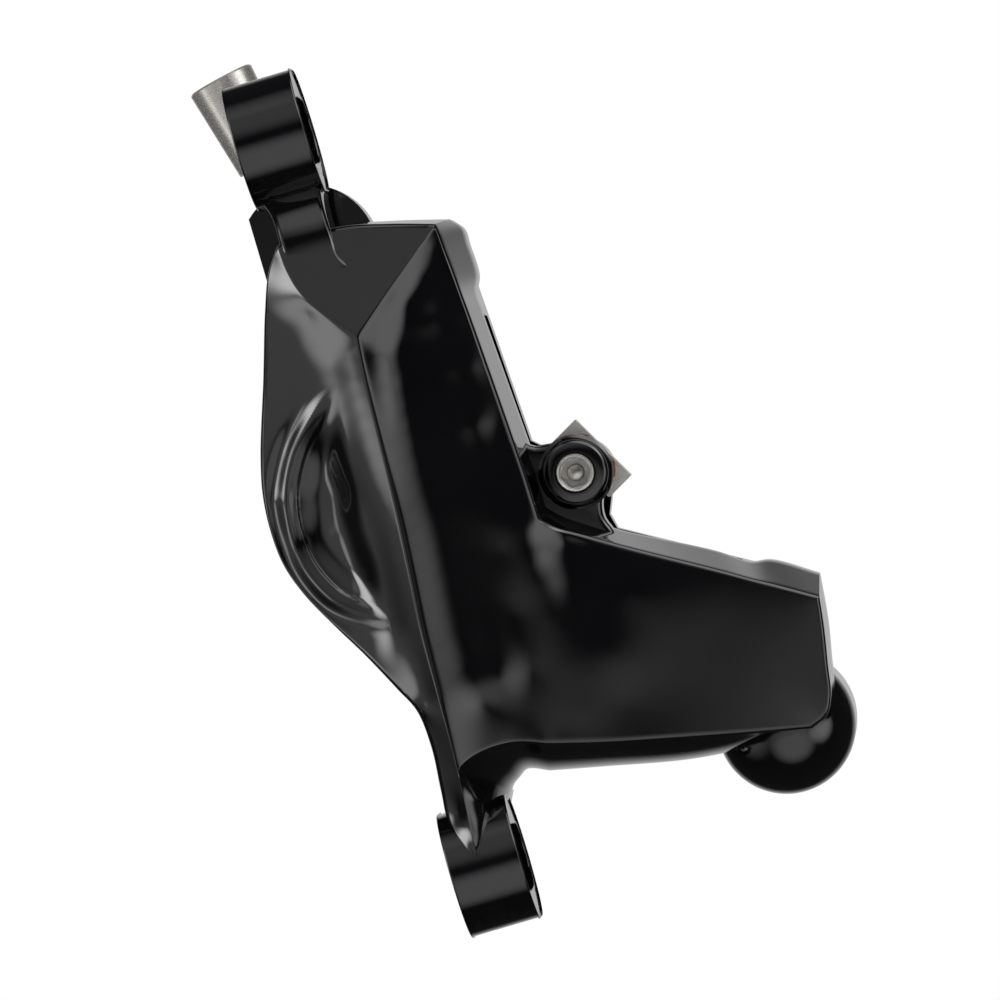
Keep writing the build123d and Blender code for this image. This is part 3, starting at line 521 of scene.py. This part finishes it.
# Under the lower limb, in the cove and beside the prow the wall swells out before it drops
below = np.arange(starts["bottom"], starts["toe"])
swell = np.zeros(len(outer))
swell[below] = ease((below - starts["bottom"]) / SWELL_RUN)
shoulder_at = [starts["cove"] + 16, starts["prow"] + 8, starts["toe"]]
shoulder = np.interp(np.arange(len(outer)), shoulder_at, [12.5, 19.3, 21.1])
turning = np.column_stack([outer[:, 3:5], shoulder])
middle += swell[:, None] * (turning - middle)
wall_rows = [rim] + bend_between(rim, outer[:, :3], fall, 6) + bend_between(fall, middle, wall, 11)
for depth in (WALL_FOOT / 2, 0.0):
    wall_rows.append(np.column_stack([outer[:, 3:5], np.full(len(outer), depth)]))
front.grid([np.vstack([row, row[:1]]) for row in wall_rows])
front.polygon(wall_rows[-1])
shell = make_object("outboard_shell", front.mesh("outboard_shell"))

# Ease the creases so that each catches a thin line of light
CREASE_REACH, CREASE_FADE, CREASE_PULL, CREASE_PASSES, FRONT_FROM = 0.42, 0.28, 0.5, 5, 12
mesh = shell.data
places = np.empty(len(mesh.vertices) * 3)
mesh.vertices.foreach_get("co", places)
places = places.reshape(-1, 3)
pairs = np.empty(len(mesh.edges) * 2, int)
mesh.edges.foreach_get("vertices", pairs)
pairs = pairs.reshape(-1, 2)
on_front = places[:, 2] > FRONT_FROM
gap = np.min([distance(places[:, :2], crease) for crease in (ridge_all[::2], brow, crown)], axis=0)
strength = np.where(on_front, CREASE_PULL * ease((CREASE_REACH - gap) / CREASE_FADE), 0)[:, None]
for _ in range(CREASE_PASSES):
    total = np.zeros_like(places)
    number = np.zeros(len(places))
    for a, b in ((0, 1), (1, 0)):
        np.add.at(total, pairs[:, a], places[pairs[:, b]])
        np.add.at(number, pairs[:, a], 1)
    places += strength * (total / number[:, None] - places)
mesh.vertices.foreach_set("co", places.ravel())
mesh.update()


# Outboard half: what is cut from it

def pad_loop(points):
    """Places in the pad frame as a loop of X and Z."""
    return np.array([pad_xz(a, b) for a, b in points])


def prism(name, loop, near, far):
    """A plain cutter between two depths."""
    build = Builder()
    rows = [np.column_stack([loop, np.full(len(loop), depth)]) for depth in (near, far)]
    build.grid([np.vstack([row, row[:1]]) for row in rows])
    build.polygon(rows[0])
    build.polygon(rows[1])
    return make_object(name, build.mesh(name))


def circle(centre, radius, count=72):
    """A loop of X and Z round a centre."""
    angles = np.linspace(0, 2 * math.pi, count, endpoint=False)
    return np.column_stack([centre[0] + radius * np.cos(angles), centre[1] + radius * np.sin(angles)])


WINDOW_HALF, WINDOW_DEPTH, WINDOW_REACH = 17.65, 5.4, 60
ROTOR_OUT, ROTOR_ROOM_R, ROTOR_ROOM_DEPTH = -94.5, 91.2, 1.6
PISTON_OUT, PISTON_ALONG, UPPER_BORE_R, LOWER_BORE_R = -13, 9.6, 7.55, 8.05
BORE_FROM, BORE_TO, PAST_REAR = 4, 13.0, -1
window = pad_loop([(WINDOW_REACH, -WINDOW_HALF), (WINDOW_REACH, WINDOW_HALF),
                   (-WINDOW_REACH, WINDOW_HALF), (-WINDOW_REACH, -WINDOW_HALF)])
cutters = [
    prism("rotor_cut", circle(pad_xz(ROTOR_OUT, 0), ROTOR_ROOM_R, 400), PAST_REAR, ROTOR_ROOM_DEPTH),
    prism("window_cut", window, PAST_REAR, WINDOW_DEPTH),
    prism("upper_bore_cut", circle(pad_xz(PISTON_OUT, PISTON_ALONG), UPPER_BORE_R), BORE_FROM, BORE_TO),
    prism("lower_bore_cut", circle(pad_xz(PISTON_OUT, -PISTON_ALONG), LOWER_BORE_R), BORE_FROM, BORE_TO),
]
cut(shell, cutters)


# Outboard half: ears, web, lug and boss

EAR_MIDDLE, EAR_SHIFT, EAR_R, EAR_THICK, SLOT_R = 37.1, 2.05, 6.3, 7.0, 3.3
EAR_CORNER, EAR_TURNS = 0.16, 41


def ear(name, middle_z):
    """A slotted mounting ear: a rounded ring swept round the slot."""
    turns = [math.pi / 2 * k / 4 for k in range(5)]
    arc = [(EAR_CORNER * (1 - math.cos(a)), EAR_CORNER * (1 - math.sin(a))) for a in turns]
    profile = [(EAR_R - d, EAR_THICK - i) for i, d in arc]
    profile += [(SLOT_R + d, EAR_THICK - i) for i, d in reversed(arc)]
    profile += [(SLOT_R + d, i) for i, d in arc]
    profile += [(EAR_R - d, i) for i, d in reversed(arc)]
    profile.append(profile[0])
    build = Builder()
    half_turn = np.linspace(-90, 90, EAR_TURNS)
    angles = np.concatenate([half_turn, half_turn + 180]) * math.pi / 180
    shift = np.concatenate([np.full(EAR_TURNS, EAR_SHIFT), np.full(EAR_TURNS, -EAR_SHIFT)])
    angles, shift = np.append(angles, angles[0]), np.append(shift, shift[0])
    rows = []
    for radius, x in profile:
        y = shift + radius * np.cos(angles)
        z = middle_z + radius * np.sin(angles)
        rows.append(np.column_stack([np.full(len(y), x), z, ROTOR_PLANE - y]))
    build.grid(rows)
    return make_object(name, build.mesh(name))


WEB_ROUND, WEB_BACK = 0.55, 5.0


def web():
    """The waisted plate that carries the upper ear, flared where it lands."""
    build = Builder()
    sections = [
        # Z, left X, right X, front depth
        (22.4, 0.5, 7.6, 16.4), (23.4, 0.75, 7.1, 16.35), (24.2, 0.95, 6.7, 16.0), (25.0, 1.05, 6.45, 15.7),
        (26.2, 1.1, 6.35, 15.4), (27.6, 1.15, 6.3, 15.3), (29.0, 1.2, 6.3, 15.5), (30.2, 1.1, 6.4, 16.1),
        (31.2, 0.8, 6.6, 17.0), (32.2, 0.45, 6.8, 18.2), (33.2, 0.3, 6.9, 19.0),
    ]
    sections = spline([(z, 0, a, b, d) for z, a, b, d in sections], 44)
    rows = []
    for z, _, left, right, depth in sections:
        ring = []
        inner_left, inner_right = left + WEB_ROUND, right - WEB_ROUND
        front_edge, back_edge = depth - WEB_ROUND, WEB_BACK + WEB_ROUND
        for x, d, start in ((inner_left, front_edge, 180), (inner_right, front_edge, 90),
                            (inner_right, back_edge, 0), (inner_left, back_edge, -90)):
            for k in range(7):
                a = math.radians(start - 15 * k)
                ring.append((x + WEB_ROUND * math.cos(a), z, d + WEB_ROUND * math.sin(a)))
        ring.append(ring[0])
        rows.append(np.array(ring))
    build.grid(rows)
    build.polygon(rows[0][:-1])
    build.polygon(rows[-1][:-1])
    return make_object("web", build.mesh("web"))


APRON_TOP, HEAD_ROOM_R, HEAD_ROOM_FROM, PAST_FRONT = 9.8, 2.02, 9.0, 20


def pin_lug():
    """The round lug for the pad pin, standing on a lower skirt that sweeps into both limbs."""
    skirt = spline([(1.6, 2.85), (0.25, 3.75), (-1.1, 4.75), (-1.75, 6.4), (-3.4, 8.6)], 18)
    foot = spline([(-3.4, -9.0), (-1.5, -6.9), (-1.15, -5.1), (-0.3, -3.95), (1.9, -2.6)], 18)
    loop = [tuple(p) for p in skirt] + [(-9, 8.8), (-9, -9.2)] + [tuple(p) for p in foot]
    apron = rounded_prism("pin_apron", pad_loop(loop), WINDOW_DEPTH, APRON_TOP, 0.6, 6)
    profile = [(0, WINDOW_DEPTH), (3.3, WINDOW_DEPTH), (3.3, 9.2), (3.75, 9.55), (3.75, 9.75), (3.42, 9.95),
               (3.27, 10.3), (3.25, 11.15), (3.12, 11.42), (2.85, 11.6), (0, 11.6)]
    ring = lathe("pin_ring", profile, PIN, 96)
    for part in (apron, ring):
        cut(part, [prism("head_cut", circle(PIN, HEAD_ROOM_R), HEAD_ROOM_FROM, PAST_FRONT)])
    return join("pin_lug", [apron, ring])


BOSS_AT, BOSS_R, BOSS_WALL, DOME_HIGH, DOME_FULLNESS = (35.1, -32.3), 6.9, 3.6, 6.4, 0.9


def boss():
    """The domed end of the bleed boss."""
    profile = [(0, 0), (BOSS_R, 0), (BOSS_R, 1.5), (BOSS_R, 3.0)]
    rise = np.linspace(0, math.pi / 2, 22)
    profile += [(BOSS_R * math.cos(a) ** DOME_FULLNESS, BOSS_WALL + DOME_HIGH * math.sin(a))
                for a in rise[:-1]]
    profile.append((0, BOSS_WALL + DOME_HIGH))
    return lathe("boss", profile, BOSS_AT, 96)


outboard = join("outboard_half_skin", [
    shell, ear("ear_upper", EAR_MIDDLE), ear("ear_lower", -EAR_MIDDLE), web(), pin_lug(), boss()])
place(outboard)
finish_mesh(outboard, 40)
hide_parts("outboard_half")
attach(outboard, "caliper_body")


SOCKET_R, SOCKET_FLOOR = 1.559, 9.8


def pin_visual():
    """The pad pin: a rounded head with a bright rim, a hexagon socket and a raised point in its floor."""
    tail = [(0, -13.8), (1.15, -13.8), (1.5, -13.45), (1.5, -12.25)]
    clip_groove = [(1.1, -12.2), (1.1, -11.7), (1.5, -11.65)]
    head_side = [(1.5, 9.0), (1.95, 9.0), (1.95, 11.22)]
    head_rim = [(1.91, 11.4), (1.82, 11.53), (1.72, 11.55), (1.66, 11.5), (1.62, 11.5), (1.57, 11.56)]
    head_mouth = [(1.5, 11.5), (1.46, 11.3), (1.4, 11.1), (0, 11.1)]
    head = lathe("pin_head", tail + clip_groove + head_side + head_rim + head_mouth, PIN, 96)
    corners = [math.radians(30) + TILT + k * math.pi / 3 for k in range(6)]
    hexagon = np.array([(PIN[0] + SOCKET_R * math.cos(a), PIN[1] + SOCKET_R * math.sin(a)) for a in corners])
    cut(head, [prism("socket_cut", hexagon, SOCKET_FLOOR, PAST_FRONT)])
    point = lathe("socket_point", [(0, 9.7), (0.95, 9.7), (0.78, 10.15), (0.72, 10.2), (0, 10.22)], PIN, 48)
    return join("pad_pin_skin", [head, point])


pin_skin = pin_visual()
place(pin_skin)
finish_mesh(pin_skin, 40)
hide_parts("pad_pin")
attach(pin_skin, "caliper_body")


# Materials

def colour(code):
    """An sRGB hex code as linear red, green, blue and alpha."""
    parts = [int(code[k:k + 2], 16) / 255 for k in (1, 3, 5)]
    return tuple(p / 12.92 if p <= 0.04045 else ((p + 0.055) / 1.055) ** 2.4 for p in parts) + (1.0,)


class Finish:
    """One procedural material, built node by node."""

    def __init__(self, name):
        self.material = bpy.data.materials.new(name)
        self.material.use_nodes = True
        self.tree = self.material.node_tree
        self.shader = self.tree.nodes["Principled BSDF"]
        self.coords = self.node("ShaderNodeTexCoord")

    def node(self, kind, settings=None, **links):
        """Add a node, set its own settings, and fill its sockets with values or links."""
        made = self.tree.nodes.new(kind)
        for key, value in (settings or {}).items():
            setattr(made, key, value)
        for key, value in links.items():
            self.feed(made.inputs[key.replace("_", " ")], value)
        return made

    def feed(self, socket, value):
        if isinstance(value, bpy.types.NodeSocket):
            self.tree.links.new(value, socket)
        else:
            socket.default_value = value

    def set(self, **values):
        for key, value in values.items():
            self.feed(self.shader.inputs[key.replace("_", " ")], value)

    def noise(self, per_mm, detail=3.0, roughness=0.5, stretch=None):
        """Noise with so many swings per mm, in the object's own metres."""
        source = self.coords.outputs["Object"]
        if stretch:
            source = self.node("ShaderNodeMapping", Vector=source, Scale=stretch).outputs["Vector"]
        made = self.node("ShaderNodeTexNoise", Vector=source, Scale=per_mm / MM, Detail=detail,
                         Roughness=roughness)
        return made.outputs["Fac"]

    def remap(self, value, start, end, low, high):
        """A value carried from one range to another."""
        made = self.node("ShaderNodeMapRange", Value=value, From_Min=start, From_Max=end,
                         To_Min=low, To_Max=high)
        return made.outputs["Result"]

    def between(self, factor, low, high):
        """Noise, which keeps near its middle, spread from low to high."""
        return self.remap(factor, 0.3, 0.7, low, high)

    def blend(self, factor, first, second):
        mixed = self.node("ShaderNodeMix", {"data_type": "RGBA"})
        self.feed(mixed.inputs[0], factor)
        self.feed(mixed.inputs[6], first)
        self.feed(mixed.inputs[7], second)
        return mixed.outputs[2]

    def bump(self, height, depth_mm, strength=1.0, under=None):
        links = {"Height": height, "Distance": depth_mm * MM, "Strength": strength}
        if under is not None:
            links["Normal"] = under
        return self.node("ShaderNodeBump", **links).outputs["Normal"]


def lacquer(name, code, roughness, peel_mm):
    """Deep black lacquer: clear reflections that swim a little over faint orange peel."""
    f = Finish(name)
    cloud = f.noise(0.12, 2.0)
    f.set(Base_Color=f.blend(cloud, colour(code), colour("#060607")),
          Roughness=f.between(f.noise(0.5, 4.0), roughness, roughness * 1.5),
          Coat_Weight=0.6, Coat_Roughness=0.04, Coat_IOR=1.5)
    f.set(Normal=f.bump(f.noise(0.45, 1.0), peel_mm), Coat_Normal=f.bump(f.noise(0.3, 1.0), peel_mm * 0.6))
    return f.material


def turned(name, code, dark, roughness, axis, metal=1.0):
    """Machined metal: fine rings round the tool's path break up a soft, directional shine."""
    f = Finish(name)
    stretch = {"x": (1, 0.06, 0.06), "y": (0.06, 1, 0.06), "z": (0.06, 0.06, 1)}[axis]
    rings = f.noise(14.0, 2.0, 0.6, stretch)
    f.set(Base_Color=f.blend(f.between(rings, 0.0, 1.0), colour(dark), colour(code)), Metallic=metal,
          Roughness=f.between(f.noise(3.0, 3.0), roughness * 0.85, roughness * 1.2),
          Normal=f.bump(rings, 0.004))
    return f.material


def plated(name, code, dark, roughness, grain, metal=1.0):
    """Plated or blackened steel: an even metal skin with a slight mottle and softened grain."""
    f = Finish(name)
    mottle = f.noise(0.9, 4.0)
    f.set(Base_Color=f.blend(f.between(mottle, 0.0, 1.0), colour(dark), colour(code)), Metallic=metal,
          Roughness=f.between(mottle, roughness, roughness * 1.35), Normal=f.bump(f.noise(grain, 3.0), 0.003))
    return f.material


def sinter():
    """Sintered friction: dark pressed metal dust, speckled with brassy flecks and open pores."""
    f = Finish("sintered_friction_pressed")
    specks = f.node("ShaderNodeTexVoronoi", Vector=f.coords.outputs["Object"], Scale=2600.0)
    fleck = f.remap(specks.outputs["Distance"], 0.12, 0.2, 1.0, 0.0)
    grit = f.noise(5.0, 5.0, 0.7)
    base = f.blend(f.between(grit, 0, 1), colour("#2b2724"), colour("#5a5048"))
    f.set(Base_Color=f.blend(fleck, base, colour("#a5824e")), Metallic=0.35, Roughness=0.72,
          Normal=f.bump(grit, 0.03))
    return f.material


def resin():
    """Moulded phenolic piston: dull cream with a faint ground sheen."""
    f = Finish("phenolic_piston_ground")
    fibre = f.noise(1.6, 5.0, 0.65, (1, 0.2, 1))
    f.set(Base_Color=f.blend(f.between(fibre, 0, 1), colour("#8f877a"), colour("#aea595")), Roughness=0.5,
          Normal=f.bump(fibre, 0.01))
    return f.material


def seal():
    """Moulded rubber: matt black with a powdery bloom."""
    f = Finish("rubber_seal_moulded")
    bloom = f.noise(2.0, 4.0)
    f.set(Base_Color=f.blend(f.between(bloom, 0, 1), colour("#0d0d0d"), colour("#1b1b1a")), Roughness=0.7,
          Normal=f.bump(bloom, 0.006))
    return f.material


gloss_black = lacquer("lacquer_black_on_forged_alloy", "#020203", 0.06, 0.0003)
fitting_black = lacquer("anodised_black_turned_alloy", "#08080a", 0.2, 0.0008)
black_steel = plated("steel_black_oxide", "#1c1c1e", "#101011", 0.34, 3.0)
bright_steel = turned("stainless_turned_bright", "#cfcdc8", "#b0aea9", 0.2, "y", 0.8)
spring_steel = plated("steel_spring_rolled_bright", "#dcdad5", "#c6c3bd", 0.18, 4.0, 0.75)
satin_steel = turned("steel_turned_satin", "#d8d5cf", "#adaaa4", 0.28, "z", 0.6)
satin_alloy = turned("alloy_turned_satin", "#c9c6c0", "#b3b0aa", 0.24, "z", 0.85)
copper_plate = plated("steel_copper_plated", "#b9713f", "#8a4a26", 0.34, 2.5)
copper_soft = plated("copper_washer_soft", "#b56a3d", "#8b4a28", 0.4, 2.0)

rubber, cream_resin, friction = seal(), resin(), sinter()
finishes = {
    "inboard_half": gloss_black,
    "body_bolts": black_steel,
    "banjo_bolt": black_steel,
    "hose_banjo": fitting_black,
    "hose_stem": satin_steel,
    "crimp_ferrule": satin_alloy,
    "pad_pin_skin": bright_steel,
    "pin_clip": spring_steel,
    "pad_spring": spring_steel,
    "bleed_screw": bright_steel,
    "banjo_washers": copper_soft,
    "outboard_pad_plate": copper_plate,
    "inboard_pad_plate": copper_plate,
    "outboard_pad_friction": friction,
    "inboard_pad_friction": friction,
    "bleed_seal": rubber,
    "crossover_seal": rubber,
    "outboard_piston_seals": rubber,
    "inboard_piston_seals": rubber,
    "outboard_upper_piston": cream_resin,
    "outboard_lower_piston": cream_resin,
    "inboard_upper_piston": cream_resin,
    "inboard_lower_piston": cream_resin,
}
for name, finish in finishes.items():
    node = bpy.data.objects[name]
    if not node.data.materials:
        node.data.materials.append(finish)
    for k in range(len(node.data.materials)):
        node.data.materials[k] = finish

# Machined and pressed edges are never knife sharp: a narrow bevel, in mm, lets each catch the light
for name, width_mm in (("crimp_ferrule", 0.12), ("pad_spring", 0.06), ("body_bolts", 0.2),
                       ("banjo_bolt", 0.15), ("hose_banjo", 0.15), ("bleed_screw", 0.1)):
    edge = bpy.data.objects[name].modifiers.new("edge", "BEVEL")
    edge.width = width_mm * MM
    edge.segments = 2
    edge.limit_method = "ANGLE"
    edge.angle_limit = math.radians(35)
outboard.data.materials.clear()
outboard.data.materials.append(gloss_black)


# Stage, lights and camera

# Camera rays see the floor white, glossy rays pass through it to the room, and all others meet plain paper
stage_finish = Finish("paper_sweep_white")
stage_finish.set(Base_Color=colour("#f4f4f2"), Roughness=0.9)
tree = stage_finish.tree
path = stage_finish.node("ShaderNodeLightPath")
glow = stage_finish.node("ShaderNodeEmission", Color=(1, 1, 1, 1), Strength=1.0)
mirrored = stage_finish.node("ShaderNodeBsdfTransparent")
shown = stage_finish.node("ShaderNodeMixShader")
stage_finish.feed(shown.inputs[0], path.outputs["Is Glossy Ray"])
stage_finish.feed(shown.inputs[1], glow.outputs[0])
stage_finish.feed(shown.inputs[2], mirrored.outputs[0])
seen = stage_finish.node("ShaderNodeMath", {"operation": "MAXIMUM"})
stage_finish.feed(seen.inputs[0], path.outputs["Is Camera Ray"])
stage_finish.feed(seen.inputs[1], path.outputs["Is Glossy Ray"])
either = stage_finish.node("ShaderNodeMixShader")
stage_finish.feed(either.inputs[0], seen.outputs[0])
stage_finish.feed(either.inputs[1], stage_finish.shader.outputs[0])
stage_finish.feed(either.inputs[2], shown.outputs[0])
tree.links.new(either.outputs[0], tree.nodes["Material Output"].inputs["Surface"])

FLOOR_Z, FLOOR_HALF = -0.16, 1.5
floor_mesh = bpy.data.meshes.new("floor_sweep")
floor_corners = [(x * FLOOR_HALF, y * FLOOR_HALF, FLOOR_Z) for x, y in ((-1, -1), (1, -1), (1, 1), (-1, 1))]
floor_mesh.from_pydata(floor_corners, [], [(0, 1, 2, 3)])
floor = make_object("floor_sweep", floor_mesh)
floor.data.materials.append(stage_finish.material)

world = bpy.data.worlds.new("studio")
bpy.context.scene.world = world
world.use_nodes = True
nodes, links = world.node_tree.nodes, world.node_tree.links
nodes.clear()
output = nodes.new("ShaderNodeOutputWorld")
white = nodes.new("ShaderNodeBackground")
white.inputs["Color"].default_value = (1, 1, 1, 1)
room = nodes.new("ShaderNodeBackground")
room.inputs["Strength"].default_value = 1.0
coords = nodes.new("ShaderNodeTexCoord")


def faded(value, low, high, start, end):
    """A soft step of a value between two levels."""
    step = nodes.new("ShaderNodeMapRange")
    step.interpolation_type = "SMOOTHSTEP"
    for key, number in (("From Min", low), ("From Max", high), ("To Min", start), ("To Max", end)):
        step.inputs[key].default_value = number
    links.new(value, step.inputs["Value"])
    return step.outputs["Result"]


def glow_from(direction, inner, outer, level):
    """A round patch of light in the room: its direction, the angles of its core and edge, and its level."""
    towards = nodes.new("ShaderNodeVectorMath")
    towards.operation = "DOT_PRODUCT"
    links.new(coords.outputs["Generated"], towards.inputs[0])
    towards.inputs[1].default_value = Vector(direction).normalized()
    edge_cosine, core_cosine = math.cos(math.radians(outer)), math.cos(math.radians(inner))
    return faded(towards.outputs["Value"], edge_cosine, core_cosine, 0.0, level)


split = nodes.new("ShaderNodeSeparateXYZ")
links.new(coords.outputs["Generated"], split.inputs[0])
# The room as reflections see it: pale behind the object, dark before it, with nine round lights
patches = [
    faded(split.outputs["Y"], 0.72, 0.99, 0.02, 0.5),
    glow_from((-0.85, -0.32, 0.41), 4, 19, 6.00),
    glow_from((0.63, -0.20, 0.75), 10, 42, 2.02),
    glow_from((-0.42, -0.41, 0.81), 7, 24, 0.75),
    glow_from((0.05, -0.87, -0.50), 10, 37, 0.82),
    glow_from((0.77, -0.59, -0.24), 5, 28, 1.48),
    glow_from((-0.94, -0.33, -0.06), 1, 13, 2.00),
    glow_from((-0.84, -0.54, 0.12), 5, 46, 0.55),
    glow_from((0.87, -0.32, 0.38), 5, 25, 2.36),
    glow_from((0.0, -0.61, 0.79), 13, 41, 0.45),
]
total = patches[0]
for patch in patches[1:]:
    adding = nodes.new("ShaderNodeMath")
    links.new(total, adding.inputs[0])
    links.new(patch, adding.inputs[1])
    total = adding.outputs[0]
links.new(total, room.inputs["Color"])
light_path = nodes.new("ShaderNodeLightPath")
choose = nodes.new("ShaderNodeMixShader")
links.new(light_path.outputs["Is Camera Ray"], choose.inputs[0])
links.new(room.outputs[0], choose.inputs[1])
links.new(white.outputs[0], choose.inputs[2])
links.new(choose.outputs[0], output.inputs["Surface"])


def softbox(name, at, look, size, watts):
    """A plain rectangular light that faces the object."""
    lamp = bpy.data.lights.new(name, "AREA")
    lamp.shape = "RECTANGLE"
    lamp.size, lamp.size_y = size
    lamp.energy = watts
    thing = bpy.data.objects.new(name, lamp)
    thing.location = at
    thing.rotation_euler = (Vector(look) - Vector(at)).to_track_quat("-Z", "Y").to_euler()
    thing.visible_glossy = False
    bpy.context.scene.collection.objects.link(thing)
    return thing


AIM = Vector((0.01464, 0.0, -0.00299))
softbox("key_left_high", (-0.45, -0.45, 0.45), AIM, (0.30, 0.50), 5.0)
softbox("strip_right", (0.65, -0.35, 0.10), AIM, (0.10, 0.60), 2.5)
softbox("top_bank", (0.05, -0.10, 0.70), AIM, (0.60, 0.25), 4.0)

camera_data = bpy.data.cameras.new("photo_view")
camera = bpy.data.objects.new("photo_view", camera_data)
bpy.context.scene.collection.objects.link(camera)
YAW = math.radians(2.8)             # turn of the view about the vertical
LEAN = (0.2837, 0, 0.959)           # upwards in the picture: the photo shows the caliper leaning
REACH = 0.9                         # metres from the aim to the camera
WIDTH = 0.09804                     # metres across the picture at the aim
SENSOR = 36.0
back = Vector((math.sin(YAW), -math.cos(YAW), 0))
side = Vector(LEAN).normalized().cross(back).normalized()
up = back.cross(side)
camera.matrix_world = Matrix((
    (side.x, up.x, back.x, AIM.x + back.x * REACH),
    (side.y, up.y, back.y, AIM.y + back.y * REACH),
    (side.z, up.z, back.z, AIM.z + back.z * REACH),
    (0, 0, 0, 1)))
camera_data.sensor_width = SENSOR
camera_data.lens = SENSOR * REACH / WIDTH
camera_data.clip_start = 0.05
camera_data.clip_end = 10.0
bpy.context.scene.camera = camera
bpy.context.scene.view_settings.view_transform = "Standard"
